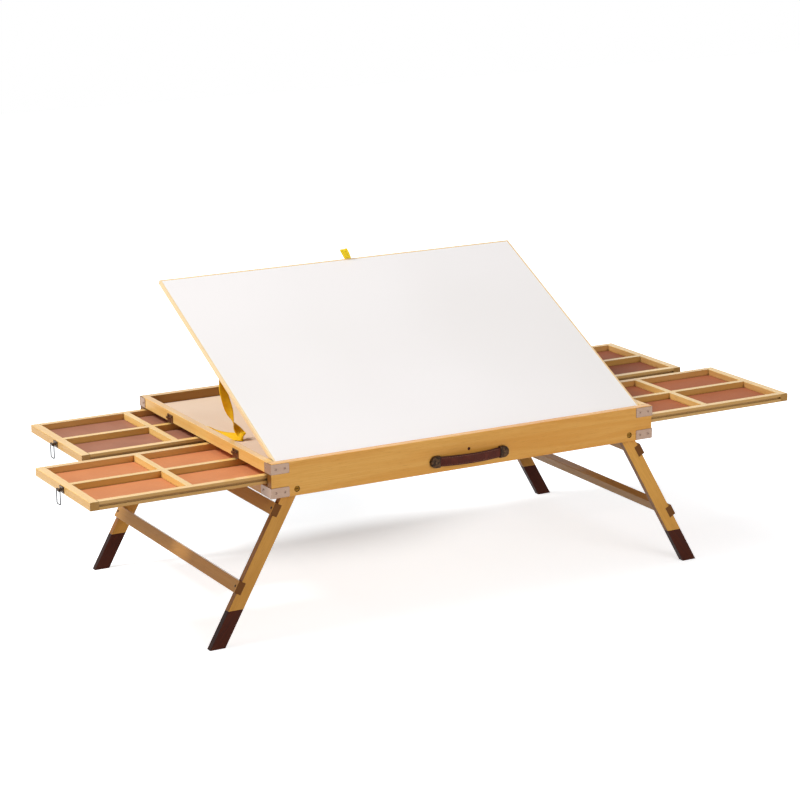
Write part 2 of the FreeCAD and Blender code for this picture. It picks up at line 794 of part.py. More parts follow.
def leg_screw_place(along):
    outer = leg_width / 2 + leg_rail_t - leg_rail_notch
    return V(-outer, -(leg_outer_y + leg_inner_y) / 2, -along - leg_rail_height / 2)


def leg_frame():
    """The left leg frame: two legs, two feet, two rails and their screws."""
    leg, foot = leg_solids()
    rails = []
    screws = []
    for along in (upper_rail_along, lower_rail_along):
        rails.append(on_leg(eased(leg_rail_blank(along), edge_round, V(0, 1, 0))))
        piece = on_leg(screw(leg_screw_place(along), V(1, 0, 0)))
        screws += [piece, mirrored_y(piece)]
    return [leg, mirrored_y(leg)], [foot, mirrored_y(foot)], rails, screws


def handle_cap():
    """A cast cap with a round end, hollowed for the strap's end."""
    level = case_top - handle_drop
    half_h = cap_height / 2
    inner = -handle_length / 2 + cap_length
    centre = -handle_length / 2 + half_h
    body = span_box((centre, inner), (-half_d - cap_t, -half_d), (level - half_h, level + half_h))
    body = body.fuse(rod(V(centre, -half_d - cap_t, level), V(0, 1, 0), half_h, cap_t)).removeSplitter()
    rim = [edge for edge in body.Edges if edge.BoundBox.YMax < -half_d - cap_t / 2
           and abs(edge.CenterOfMass.x - inner) > plug_r]
    body = body.makeChamfer(cap_t / 4, rim)
    return body.cut(strap_outline())


def strap_outline():
    """The leather strap: flat ends in the caps and a bowed middle."""
    level = case_top - handle_drop
    end = handle_length / 2 - cap_length + cap_height / 4
    flat = handle_length / 2 - cap_length
    back = -half_d - (cap_t - handle_strap_t) / 2
    out = back - handle_bow
    start = Part.Vertex(V(-end, back, level))
    inner = Part.Arc(V(-flat, back, level), V(0, out, level), V(flat, back, level))
    outer = Part.Arc(V(-flat, back - handle_strap_t, level), V(0, out - handle_strap_t, level),
                     V(flat, back - handle_strap_t, level))
    left = Part.makePolygon([V(-flat, back - handle_strap_t, level), V(-end, back - handle_strap_t, level),
                             start.Point, V(-flat, back, level)])
    right = Part.makePolygon([V(flat, back, level), V(end, back, level),
                              V(end, back - handle_strap_t, level), V(flat, back - handle_strap_t, level)])
    edges = [inner.toShape()] + right.Edges + [outer.toShape()] + left.Edges
    wire = Part.Wire(Part.__sortEdges__(edges))
    strap = Part.Face(wire).extrude(V(0, 0, handle_strap_h))
    strap.translate(V(0, 0, -handle_strap_h / 2))
    return strap


def case_screws():
    screws = []
    for place, direction in band_screw_places():
        screws += at_corners(screw(place, direction))
    for y in (-drawer_centre, drawer_centre):
        for place in keeper_screw_places(y):
            piece = screw(place, V(1, 0, 0))
            screws += [piece, mirrored_x(piece)]
    screws += [screw(place, V(0, 1, 0)) for place in handle_screw_places()]
    return screws


def build():
    """Every named piece of the table, as a list of solids."""
    parts = {}
    parts["front_panel"] = [long_panel(-1)]
    parts["back_panel"] = [long_panel(1)]
    parts["left_top_rail"] = [top_rail()]
    parts["right_top_rail"] = [mirrored_x(top_rail())]
    parts["lower_side_rails"] = [lower_rail(), mirrored_x(lower_rail())]
    parts["compartment_floor"] = [compartment_floor()]
    parts["centre_rail"] = [centre_rail()]
    parts["centre_partition"] = [centre_partition()]
    parts["drawer_runners"] = drawer_runners()
    parts["upper_corner_bands"] = at_corners(corner_band(case_top - band_edge - band_height, band_side_upper))
    parts["lower_corner_bands"] = at_corners(corner_band(ground_to_case + band_edge, band_side_lower))
    parts["case_screws"] = case_screws()
    parts["latch_keepers"] = latch_keepers()
    parts["leg_pivot_bolts"] = at_corners(pivot_bolt())
    parts["leg_stops"] = at_corners(leg_stop())
    parts["panel_plugs"] = [partition_plug(-1), partition_plug(1)]
    parts["lid_rests"] = [lid_rest(), mirrored_x(lid_rest())]
    parts["lid_pins"] = [lid_pin(), mirrored_x(lid_pin())]
    parts["prop_racks"] = [prop_rack(), mirrored_x(prop_rack())]
    parts["left_lid_strap"] = [strap_ribbon()]
    parts["right_lid_strap"] = [mirrored_x(strap_ribbon())]
    parts["handle_strap"] = [strap_outline()]
    parts["handle_caps"] = [handle_cap(), mirrored_x(handle_cap())]
    parts["lid_board"] = [lid_board()]
    parts["lid_surface"] = [lid_surface()]
    parts["lid_edging"] = lid_edging()
    parts["lid_pull_tab"] = [lid_pull_tab()]
    parts["strap_lid_plates"] = [strap_lid_plate(), mirrored_x(strap_lid_plate())]
    parts["prop_hinges"] = [prop_hinge(), mirrored_x(prop_hinge())]
    parts["prop_arms"] = [prop_arm(), mirrored_x(prop_arm())]
    parts["prop_crossbar"] = [prop_crossbar()]
    parts["prop_foot_rod"] = [prop_foot_rod()]
    legs, feet, rails, screws = leg_frame()
    for name, mirror in (("left", False), ("right", True)):
        for piece, solids in (("legs", legs), ("feet", feet), ("leg_rails", rails), ("leg_screws", screws)):
            parts[name + "_" + piece] = [mirrored_x(solid) for solid in solids] if mirror else solids
    for name, right, back, opened in (("front_left", False, False, front_open),
                                      ("back_left", False, True, back_left_open),
                                      ("front_right", True, False, front_open),
                                      ("back_right", True, True, back_right_open)):
        for piece, solids in (("drawer_frame", drawer_frame()), ("drawer_dividers", drawer_dividers()),
                              ("drawer_floor", [drawer_floor()]), ("latch_plate", [latch_plate()]),
                              ("latch_bail", [bail()])):
            parts[name + "_" + piece] = [placed_drawer(solid, right, back, opened) for solid in solids]
    return parts


def save(parts):
    os.makedirs("parts", exist_ok=True)
    for name in sorted(parts):
        shape = parts[name][0] if len(parts[name]) == 1 else Part.makeCompound(parts[name])
        shape.translate(V(0, case_shift, 0))
        shape.exportStep("parts/" + name + ".step")
        print(name, len(shape.Solids), "solids", round(shape.Volume), "mm3", shape.isValid())


save(build())
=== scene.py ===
# %% [markdown]
# # A folding puzzle table, dressed for the camera
# The table is a shallow wooden case on two splayed leg frames. A white board tilts up from its
# front edge, and four thin drawers slide out of its ends. The solids already have the right
# shapes, so this lesson is about finish: wood, webbing, leather and metal, and the small pieces
# that are too fine for the solids. Everything is in metres, X to the right, Y to the back, Z up.

# %% Load the solids
import bpy
import json
import math
import numpy as np
from mathutils import Matrix, Vector


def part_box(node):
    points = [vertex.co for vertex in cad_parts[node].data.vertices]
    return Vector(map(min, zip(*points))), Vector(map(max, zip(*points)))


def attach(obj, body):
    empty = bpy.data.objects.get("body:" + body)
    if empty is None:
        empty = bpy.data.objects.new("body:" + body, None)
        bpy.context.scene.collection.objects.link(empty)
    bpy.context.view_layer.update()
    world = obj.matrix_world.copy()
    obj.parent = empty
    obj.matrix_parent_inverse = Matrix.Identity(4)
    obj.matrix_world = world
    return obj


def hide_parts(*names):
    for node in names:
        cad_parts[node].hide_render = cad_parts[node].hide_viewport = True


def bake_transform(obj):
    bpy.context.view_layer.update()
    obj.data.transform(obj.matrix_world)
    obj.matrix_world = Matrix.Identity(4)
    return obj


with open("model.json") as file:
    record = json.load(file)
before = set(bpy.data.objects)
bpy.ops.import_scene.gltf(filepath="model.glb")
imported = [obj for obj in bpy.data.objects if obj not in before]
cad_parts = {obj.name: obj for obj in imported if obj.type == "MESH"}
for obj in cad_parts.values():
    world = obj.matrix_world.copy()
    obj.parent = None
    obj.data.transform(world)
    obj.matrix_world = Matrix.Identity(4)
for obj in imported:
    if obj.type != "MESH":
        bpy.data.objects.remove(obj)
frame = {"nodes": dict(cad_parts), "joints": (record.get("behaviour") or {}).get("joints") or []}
scene = bpy.context.scene
nodes = frame["nodes"]
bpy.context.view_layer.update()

# %% [markdown]
# ## Camera
# The picture is taken from a little above the table and to the left of its front. A camera
# could be placed by eye, but the corners of a rectangular case give its place exactly, so the
# angles and the distance below are measured ones. The lens is long, so the table hardly narrows
# towards the back.

# %% Place the camera
PICTURE_PIXELS = 800
FOCAL_PIXELS = 2548.6
VIEW_YAW = math.radians(28.74)
VIEW_PITCH = math.radians(14.30)
VIEW_ROLL = math.radians(-0.61)
VIEW_DISTANCE = 5.313
VIEW_SIDE_STEP = 0.01496
VIEW_UP_STEP = 0.10234
CASE_MIDDLE_Y = (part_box("front_panel")[0].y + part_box("back_panel")[1].y) / 2
AIM = Vector((0, CASE_MIDDLE_Y, 0.250))

back = Vector((-math.sin(VIEW_YAW) * math.cos(VIEW_PITCH),
               -math.cos(VIEW_YAW) * math.cos(VIEW_PITCH), math.sin(VIEW_PITCH)))
right = Vector((math.cos(VIEW_YAW), -math.sin(VIEW_YAW), 0))
up = back.cross(right)
eye = AIM + right * VIEW_SIDE_STEP + up * VIEW_UP_STEP + back * VIEW_DISTANCE
rolled_right = right * math.cos(VIEW_ROLL) + up * math.sin(VIEW_ROLL)
rolled_up = up * math.cos(VIEW_ROLL) - right * math.sin(VIEW_ROLL)

camera_data = bpy.data.cameras.new("picture_camera")
camera_data.lens = FOCAL_PIXELS / PICTURE_PIXELS * camera_data.sensor_width
camera = bpy.data.objects.new("picture_camera", camera_data)
scene.collection.objects.link(camera)
camera.matrix_world = Matrix((
    (rolled_right.x, rolled_up.x, back.x, eye.x),
    (rolled_right.y, rolled_up.y, back.y, eye.y),
    (rolled_right.z, rolled_up.z, back.z, eye.z),
    (0, 0, 0, 1)))
scene.camera = camera
scene.view_settings.view_transform = "Standard"
print("camera at", [round(c, 3) for c in eye], "lens", round(camera_data.lens, 1), "mm")

# %% [markdown]
# ## Short ways to write a material
# A material is a small net of nodes. Each could be placed and linked by hand in the shader
# editor. In a script the same net reads best as sums and mixes, so a few short helpers come
# first: a colour from its code, a calculation, a mix of colours and a soft step.

# %% Helpers for shader nodes
def hue(code):
    """A colour written as six hex digits, as the linear numbers that shaders use."""
    values = [int(code[i:i + 2], 16) / 255 for i in (0, 2, 4)]
    linear = [v / 12.92 if v <= 0.04045 else ((v + 0.055) / 1.055) ** 2.4 for v in values]
    return (*linear, 1.0)


def fill(socket, value):
    """Link a socket to an output, or set it to a plain value."""
    if isinstance(value, bpy.types.NodeSocket):
        socket.id_data.links.new(value, socket)
    else:
        socket.default_value = value


def calc(tree, operation, *values, clamp=False):
    """A number worked out from others."""
    made = tree.nodes.new("ShaderNodeMath")
    made.operation = operation
    made.use_clamp = clamp
    for i, value in enumerate(values):
        fill(made.inputs[i], value)
    return made.outputs[0]


def vcalc(tree, operation, first, second=(0, 0, 0), outlet=0):
    """A vector, or with the outlet "Value" a number, worked out from others."""
    made = tree.nodes.new("ShaderNodeVectorMath")
    made.operation = operation
    fill(made.inputs[0], first)
    fill(made.inputs["Scale"] if operation == "SCALE" else made.inputs[1], second)
    return made.outputs[outlet]


def blend_colour(tree, share, first, second):
    """One colour laid over another by a share from 0 to 1."""
    made = tree.nodes.new("ShaderNodeMix")
    made.data_type = "RGBA"
    fill(made.inputs["Factor"], share)
    fill(made.inputs[6], first)
    fill(made.inputs[7], second)
    return made.outputs[2]


def step(tree, value, low, high, out_low=0.0, out_high=1.0):
    """A smooth rise from out_low to out_high as value goes from low to high."""
    made = tree.nodes.new("ShaderNodeMapRange")
    made.interpolation_type = "SMOOTHSTEP"
    fill(made.inputs["Value"], value)
    for name, number in (("From Min", low), ("From Max", high),
                         ("To Min", out_low), ("To Max", out_high)):
        fill(made.inputs[name], number)
    return made.outputs[0]


def noise(tree, vector, scale, detail=2.0, roughness=0.5):
    """Cloudy noise of a given scale."""
    made = tree.nodes.new("ShaderNodeTexNoise")
    fill(made.inputs["Vector"], vector)
    fill(made.inputs["Scale"], scale)
    fill(made.inputs["Detail"], detail)
    fill(made.inputs["Roughness"], roughness)
    return made.outputs["Fac"]


def stored(tree, name, outlet="Vector"):
    """A value stored on the mesh under a name."""
    made = tree.nodes.new("ShaderNodeAttribute")
    made.attribute_name = name
    return made.outputs[outlet]


def place_of(tree):
    """The place of a point in the table's own frame."""
    return tree.nodes.new("ShaderNodeTexCoord").outputs["Object"]


def split(tree, vector):
    """The three numbers of a vector."""
    made = tree.nodes.new("ShaderNodeSeparateXYZ")
    fill(made.inputs[0], vector)
    return made.outputs


def dot(tree, first, second):
    """How far one vector reaches along another."""
    return vcalc(tree, "DOT_PRODUCT", first, second, outlet="Value")


def along_board(tree, place, way):
    """The part of a place that runs along a board, and the part across it."""
    along = vcalc(tree, "SCALE", way, dot(tree, place, way))
    return along, vcalc(tree, "SUBTRACT", place, along)


def new_finish(name):
    """An empty material with its tree and its shader."""
    material = bpy.data.materials.new(name)
    material.use_nodes = True
    tree = material.node_tree
    return material, tree, tree.nodes["Principled BSDF"]


# %% Helpers for sides, soft edges, painted shade in corners and raised surfaces
def sides_that_look(tree, axes, low=0.6, high=0.9, out_low=0.0, out_high=1.0):
    """A number that goes softly from out_low to out_high on sides that look along the axes."""
    facing = tree.nodes.new("ShaderNodeNewGeometry").outputs["Normal"]
    agree = dot(tree, vcalc(tree, "ABSOLUTE", facing), axes)
    return step(tree, agree, low, high, out_low, out_high)


def eased_edges(tree, radius):
    """The direction a surface would face if its edges were rounded, and a mask of those edges."""
    bevel = tree.nodes.new("ShaderNodeBevel")
    bevel.samples = 4
    fill(bevel.inputs["Radius"], radius)
    facing = tree.nodes.new("ShaderNodeNewGeometry").outputs["Normal"]
    return bevel.outputs[0], step(tree, dot(tree, bevel.outputs[0], facing), 0.995, 0.86)


def painted_corner_shade(tree, reach):
    """A mask of inner corners and grooves no wider than reach, where shade is painted."""
    open_share = tree.nodes.new("ShaderNodeAmbientOcclusion")
    open_share.samples = 4
    fill(open_share.inputs["Distance"], reach)
    return step(tree, open_share.outputs["AO"], 0.72, 0.30)


def raise_surface(tree, shader, height, depth, strength=1.0, facing=None):
    """Let a height tilt the light on the surface, as if it stood depth metres proud."""
    bump = tree.nodes.new("ShaderNodeBump")
    fill(bump.inputs["Strength"], strength)
    fill(bump.inputs["Distance"], depth)
    fill(bump.inputs["Height"], height)
    if facing is not None:
        fill(bump.inputs["Normal"], facing)
    fill(shader.inputs["Normal"], bump.outputs["Normal"])


# %% Helpers for objects
def dress(obj, material):
    """Give an object one material, whatever it had."""
    obj.data.materials.clear()
    obj.data.materials.append(material)


def show(name, data):
    """A mesh, lamp or camera put into the scene under its own name."""
    made = bpy.data.objects.new(name, data)
    scene.collection.objects.link(made)
    return made


def built(name, points, faces):
    """An object made of points and faces."""
    mesh = bpy.data.meshes.new(name)
    mesh.from_pydata(points, [], faces)
    mesh.update()
    return show(name, mesh)


def ring_quads(start, rings, around):
    """The faces between rings of points that follow each other from the number start on."""
    quads = []
    for ring in range(rings - 1):
        low = start + ring * around
        for k in range(around):
            a, b = low + k, low + (k + 1) % around
            quads.append((a, b, b + around, a + around))
    return quads


# %% [markdown]
# ## Floor and light
# The picture is a studio one: a white sweep, a key light high on the left, a small one low on
# the left, one from the front and a faint one straight above. A white floor could be had by
# lighting it until it clips, but that would bleach the table too. Here the lamps keep a plain
# level, and the floor adds a glow of its own that only the camera and polished surfaces see. The
# glow is faint in the middle of the shadow and full far from the table, so the soft shadow
# stays. The wood throws warm light on the floor, so the floor that is seen is a little blue to
# balance it, and it sends only part of its light back, which keeps the undersides of the table
# dark.

# %% White floor that keeps the shadow
SEEN_FLOOR = (0.90, 0.93, 0.955, 1)
LIGHT_FROM_FLOOR = (0.55, 0.55, 0.56, 1)
FLOOR_SIZE = 14.0
SHADE_MIDDLE = (0.0, 0.50, 0)
SHADE_GLOW = 0.17
FEET_GLOW = 0.66
SHADE_REACH = (0.10, 0.50)
WHITE_REACH = (0.80, 1.60)


def white_ray_share(tree):
    """1 for rays that show a background: from the camera, in polish and through glass."""
    rays = tree.nodes.new("ShaderNodeLightPath").outputs
    glossy_or_clear = calc(tree, "MAXIMUM", rays["Is Glossy Ray"], rays["Is Transmission Ray"])
    return calc(tree, "MAXIMUM", rays["Is Camera Ray"], glossy_or_clear)


floor_finish, tree, shader = new_finish("studio_floor")
seen = white_ray_share(tree)
fill(shader.inputs["Base Color"], blend_colour(tree, seen, LIGHT_FROM_FLOOR, SEEN_FLOOR))
fill(shader.inputs["Roughness"], 0.85)
fill(shader.inputs["Specular IOR Level"], 0.1)
place = place_of(tree)
from_shade = vcalc(tree, "DISTANCE", place, SHADE_MIDDLE, outlet="Value")
from_table = vcalc(tree, "DISTANCE", place, outlet="Value")
glow = calc(tree, "MAXIMUM", step(tree, from_shade, *SHADE_REACH, SHADE_GLOW, FEET_GLOW),
            step(tree, from_table, *WHITE_REACH))
white = tree.nodes.new("ShaderNodeEmission")
fill(white.inputs["Color"], (1, 1, 1, 1))
fill(white.inputs["Strength"], calc(tree, "MULTIPLY", seen, glow))
summed = tree.nodes.new("ShaderNodeAddShader")
fill(summed.inputs[0], shader.outputs[0])
fill(summed.inputs[1], white.outputs[0])
tree.links.new(summed.outputs[0], tree.nodes["Material Output"].inputs["Surface"])

half = FLOOR_SIZE / 2
floor_corners = [(-half, -half, 0), (half, -half, 0), (half, half, 0), (-half, half, 0)]
studio_floor = built("studio_floor", floor_corners, [(0, 1, 2, 3)])
dress(studio_floor, floor_finish)

# %% World and lamps
WORLD_LEVEL = 0.22
LIT_POINT = Vector((0, 0, 0.3))
world = bpy.data.worlds.new("studio")
scene.world = world
world.use_nodes = True
tree = world.node_tree
dome = tree.nodes["Background"]
fill(dome.inputs["Color"], (1, 1, 1, 1))
extra = calc(tree, "MULTIPLY", white_ray_share(tree), 1 - WORLD_LEVEL)
fill(dome.inputs["Strength"], calc(tree, "ADD", WORLD_LEVEL, extra))


def soft_lamp(name, place, size, watts):
    """A square lamp that points at the table."""
    data = bpy.data.lights.new(name, "AREA")
    data.shape = "SQUARE"
    data.size = size
    data.energy = watts
    lamp = show(name, data)
    lamp.location = place
    lamp.rotation_euler = (LIT_POINT - Vector(place)).to_track_quat("-Z", "Y").to_euler()


soft_lamp("key_light", (-3.98, 0.75, 5.08), 1.65, 284)
soft_lamp("left_light", (-3.4, -0.4, 0.9), 0.7, 17)
soft_lamp("front_light", (0.7, -3.6, 1.4), 1.8, 50)
soft_lamp("top_light", (0.2, 0.0, 4.0), 2.0, 16)

# %% [markdown]
# ## Which way the grain runs
# Grain follows the length of each board, and no two boards show the same stretch of it. The
# grain could be painted on each board with its own map, but a pattern that fills space is
# simpler: end grain and long grain then agree at every edge. Each board only has to tell the
# material which way it runs and which number it has. The long way of a board is the way that
# the least of its faces look, so the faces' areas and directions give it, slanted legs too.

# %% Find the boards of a node and store their direction
def separate_solids(mesh):
    """For each face, the number of the closed solid it belongs to."""
    corner = {}
    keys = [corner.setdefault(tuple(round(c, 6) for c in v.co), len(corner)) for v in mesh.vertices]
    edge_faces = {}
    for face in mesh.polygons:
        ring = [keys[i] for i in face.vertices]
        for a, b in zip(ring, ring[1:] + ring[:1]):
            edge_faces.setdefault((min(a, b), max(a, b)), []).append(face.index)
    group = list(range(len(mesh.polygons)))

    def head(i):
        while group[i] != i:
            group[i] = group[group[i]]
            i = group[i]
        return i

    for pair in edge_faces.values():
        if len(pair) == 2:
            group[head(pair[0])] = head(pair[1])
    heads = [head(i) for i in range(len(group))]
    order = {h: n for n, h in enumerate(sorted(set(heads)))}
    return [order[h] for h in heads]


def mark_boards(obj, first_number):
    """Store each board's long direction and its number on its points."""
    mesh = obj.data
    solid_of_face = separate_solids(mesh)
    solids = max(solid_of_face) + 1
    facing = np.zeros((solids, 3, 3))
    for face, solid in zip(mesh.polygons, solid_of_face):
        normal = np.array(face.normal)
        facing[solid] += face.area * np.outer(normal, normal)
    ways = [np.linalg.eigh(spread)[1][:, 0] for spread in facing]
    directions = np.zeros((len(mesh.vertices), 3))
    numbers = np.zeros(len(mesh.vertices))
    for face, solid in zip(mesh.polygons, solid_of_face):
        for i in face.vertices:
            directions[i] = ways[solid]
            numbers[i] = first_number + solid
    grain_way = mesh.attributes.new("grain_way", "FLOAT_VECTOR", "POINT")
    grain_way.data.foreach_set("vector", directions.reshape(-1))
    mesh.attributes.new("board_number", "FLOAT", "POINT").data.foreach_set("value", numbers)
    return solids


# %% [markdown]
# ## Wood
# The case, the drawers and the legs are a pale hardwood, close-grained, under clear lacquer. Its
# figure is quiet: soft bands a few millimetres wide, fine darker pores along the grain, and a
# slow change of tone from board to board. Layers of noise, stretched along the board, give all
# of these. The edges are lightly sanded, so they catch the light and show paler. End grain drinks
# the lacquer and shows dark: a surface is end grain where it looks along its own board. Shade is
# painted into the colour as well: inner corners and grooves are darkened, the drawers', the
# dividers' and the legs' sides that face along chosen axes are darker, the faces of the back panel
# are browner than its top edge, and the leg rails are a darker copy of the leg wood. The lacquer
# is a coat over the colour. It is thick and smooth on level edges, which turn to cream in the
# light, and was rubbed thin on upright faces.

# %% A wood material
END_GRAIN = "5A2C0C"
CORNER_SHADE = "4A2008"
LEVEL_COAT = 0.80
UPRIGHT_COAT = 0.22
BOARD_SHIFT = (0.37, 0.71, 0.53)
BAND_RINGS = 46.0
WOOD_EDGE = 0.0012


def wood_finish(name, pale, golden, brown, gloss=0.40, shaded_sides=(0, 0, 0), side_shade=0.55,
                end_dark=0.85):
    """Lacquered wood whose grain follows the direction stored on each board."""
    material, tree, shader = new_finish(name)
    way = stored(tree, "grain_way")
    number = stored(tree, "board_number", "Fac")
    shift = tree.nodes.new("ShaderNodeCombineXYZ")
    for i, share in enumerate(BOARD_SHIFT):
        fill(shift.inputs[i], calc(tree, "MULTIPLY", number, share))
    along, across = along_board(tree, vcalc(tree, "ADD", place_of(tree), shift.outputs[0]), way)

    def grain(stretch, scale, detail=2.0, roughness=0.5):
        """Noise drawn out along the board."""
        squeezed = vcalc(tree, "ADD", across, vcalc(tree, "SCALE", along, stretch))
        return noise(tree, squeezed, scale, detail, roughness)

    bands = calc(tree, "SINE", calc(tree, "MULTIPLY", grain(0.07, 16.0), BAND_RINGS))
    bands = step(tree, bands, -1.0, 1.0)
    streaks = step(tree, grain(0.025, 460.0, 3.0, 0.6), 0.36, 0.68)
    pores = step(tree, grain(0.04, 1500.0), 0.58, 0.72)
    clouds = step(tree, grain(0.25, 9.0), 0.32, 0.70)
    board_tone = calc(tree, "FRACT", calc(tree, "MULTIPLY", number, 0.618))
    facing, edge = eased_edges(tree, WOOD_EDGE)
    flat_facing = tree.nodes.new("ShaderNodeNewGeometry").outputs["Normal"]
    end_grain = step(tree, calc(tree, "ABSOLUTE", dot(tree, flat_facing, way)), 0.70, 0.85)
    # Sides that face along the chosen axes are darkened towards brown: painted shade.
    sides = sides_that_look(tree, shaded_sides)
    colour = hue(pale)
    # Inner corners and grooves are darkened by the corner mask: painted shade.
    for share, amount, tint in ((bands, 0.42, golden), (streaks, 0.34, golden),
                                (clouds, 0.40, golden), (board_tone, 0.22, brown),
                                (pores, 0.30, brown), (edge, 0.30, pale),
                                (sides, side_shade, brown), (end_grain, end_dark, END_GRAIN),
                                (painted_corner_shade(tree, 0.007), 0.60, CORNER_SHADE)):
        colour = blend_colour(tree, calc(tree, "MULTIPLY", share, amount), colour, hue(tint))
    fill(shader.inputs["Base Color"], colour)
    fill(shader.inputs["Roughness"], step(tree, streaks, 0.0, 1.0, gloss, gloss + 0.12))
    fill(shader.inputs["Specular IOR Level"], 0.10)
    coat = sides_that_look(tree, (0, 0, 1), 0.6, 0.95, UPRIGHT_COAT, LEVEL_COAT)
    long_grain = calc(tree, "SUBTRACT", 1.0, end_grain)
    fill(shader.inputs["Coat Weight"], calc(tree, "MULTIPLY", coat, long_grain))
    fill(shader.inputs["Coat Roughness"], 0.20)
    height = calc(tree, "SUBTRACT", calc(tree, "MULTIPLY", streaks, 0.4),
                  calc(tree, "MULTIPLY", pores, 0.6))
    raise_surface(tree, shader, height, 0.00014, 0.5, facing)
    return material


case_wood = wood_finish("case_wood", "EAB059", "D99238", "A9651F")
# The back panel's faces are browner than its top edge: painted shade.
back_panel_shaded_wood = wood_finish("back_panel_shaded_wood", "F6CC80", "E8B25A", "7A4410",
                              shaded_sides=(0, 1, 0), side_shade=0.66)
rail_wood = wood_finish("rail_wood", "F8D084", "EAB25A", "B07028")
drawer_wood = wood_finish("drawer_wood", "FBD68E", "EEBC66", "9C5F28", gloss=0.44,
                          shaded_sides=(0.80, 1, 0), side_shade=0.48, end_dark=0.30)
divider_wood = wood_finish("divider_wood", "F6D186", "EBBA60", "96601E", gloss=0.44,
                           shaded_sides=(0, 1, 0), end_dark=0.30)
leg_wood = wood_finish("leg_wood", "E4A84E", "CC8E38", "7A4410",
                       shaded_sides=(1, 0, 0), side_shade=0.80)
# The leg rails are a darker copy of the leg wood, for the shade of the drawers above: painted
# shade.
leg_rail_shaded_wood = wood_finish("leg_rail_shaded_wood", "D39D52", "C18A46", "8A5018")
edging_wood = wood_finish("edging_wood", "FAE3B6", "F0CD94", "C08A48", end_dark=0.20)

# %% Give the wooden nodes their boards and their wood
LEG_NODES = [n for n in nodes if n.endswith("_legs")]
LEG_RAIL_NODES = [n for n in nodes if n.endswith("_leg_rails")]
FRAME_NODES = [n for n in nodes if n.endswith("_drawer_frame")]
DIVIDER_NODES = [n for n in nodes if n.endswith("_drawer_dividers")]
TOP_RAIL_NODES = ["left_top_rail", "right_top_rail"]
CASE_NODES = ["front_panel", "lower_side_rails", "centre_rail", "centre_partition",
              "drawer_runners", "leg_stops", "lid_rests", "prop_racks", "prop_arms",
              "prop_crossbar"]

board_count = 0
for names, material in ((CASE_NODES, case_wood), (["back_panel"], back_panel_shaded_wood),
                        (FRAME_NODES, drawer_wood), (DIVIDER_NODES, divider_wood),
                        (LEG_NODES, leg_wood), (LEG_RAIL_NODES, leg_rail_shaded_wood),
                        (TOP_RAIL_NODES, rail_wood), (["lid_edging"], edging_wood)):
    for name in names:
        board_count += mark_boards(nodes[name], board_count)
        dress(nodes[name], material)
print(board_count, "boards marked")

# %% [markdown]
# ## Boards that are not solid wood
# The tilting board is fibreboard with a smooth white face, the compartment floor is thin board
# with a pale face, and the drawer floors are thin red-brown hardboard. Each drawer floor is given
# a tone of its own as painted light and shade: the front left one lit, the others darker.
# Hardboard has a fine, felted surface with short fibres in every direction, so noise that is not
# stretched suits it. The white face has almost nothing on it: a faint unevenness in its gloss is
# enough.

# %% Fibreboard and the white face
def fibre_finish(name, colour, darker, speck):
    """Pressed fibreboard: a plain colour, fine short fibres and a soft mottling."""
    material, tree, shader = new_finish(name)
    place = place_of(tree)
    fibres = step(tree, noise(tree, place, 1100.0, 3.0, 0.65), 0.35, 0.70)
    mottle = step(tree, noise(tree, place, 16.0, 3.0), 0.30, 0.70)
    base = hue(colour)
    # Inner corners and grooves are darkened by the corner mask: painted shade.
    for share, amount, tint in ((fibres, speck, darker), (mottle, speck * 0.7, darker),
                                (painted_corner_shade(tree, 0.006), 0.55, CORNER_SHADE)):
        base = blend_colour(tree, calc(tree, "MULTIPLY", share, amount), base, hue(tint))
    fill(shader.inputs["Base Color"], base)
    fill(shader.inputs["Roughness"], 0.7)
    fill(shader.inputs["Specular IOR Level"], 0.3)
    raise_surface(tree, shader, fibres, 0.00008, 0.4)
    return material


# Each drawer floor's tone stands for the light and shade at its place: painted light and shade.
HARDBOARD_LIGHT_AND_SHADE = {"front_left": ("D98F5E", "BC7045"), "back_left": ("AF7960", "84523F"),
                   "front_right": ("B26A45", "96553A"), "back_right": ("96583D", "7C4530")}
compartment_board = fibre_finish("compartment_board", "FBE4CC", "F0D3B4", speck=0.30)
lid_fibreboard = fibre_finish("lid_fibreboard", "C79A63", "A97C46", speck=0.50)
for corner, tones in HARDBOARD_LIGHT_AND_SHADE.items():
    dress(nodes[corner + "_drawer_floor"], fibre_finish(corner + "_hardboard_painted_light_and_shade", *tones, speck=0.35))
dress(nodes["compartment_floor"], compartment_board)
dress(nodes["lid_board"], lid_fibreboard)

white_face, tree, shader = new_finish("white_face")
place = place_of(tree)
peel = noise(tree, place, 260.0)
drift = step(tree, noise(tree, place, 2.2, 1.0), 0.30, 0.70)
fill(shader.inputs["Base Color"], blend_colour(tree, drift, hue("F1EDEC"), hue("ECE8E6")))
fill(shader.inputs["Roughness"], step(tree, peel, 0.2, 0.8, 0.46, 0.54))
raise_surface(tree, shader, peel, 0.00003, 0.25)
dress(nodes["lid_surface"], white_face)

# %% [markdown]
# ## Dark feet
# The lowest part of each leg is stained a thick dark brown that ends in a level line. The stain
# hides most of the grain, and its lacquer shows scuffs where the foot meets the floor. The small
# plug in the front panel has the same stain.

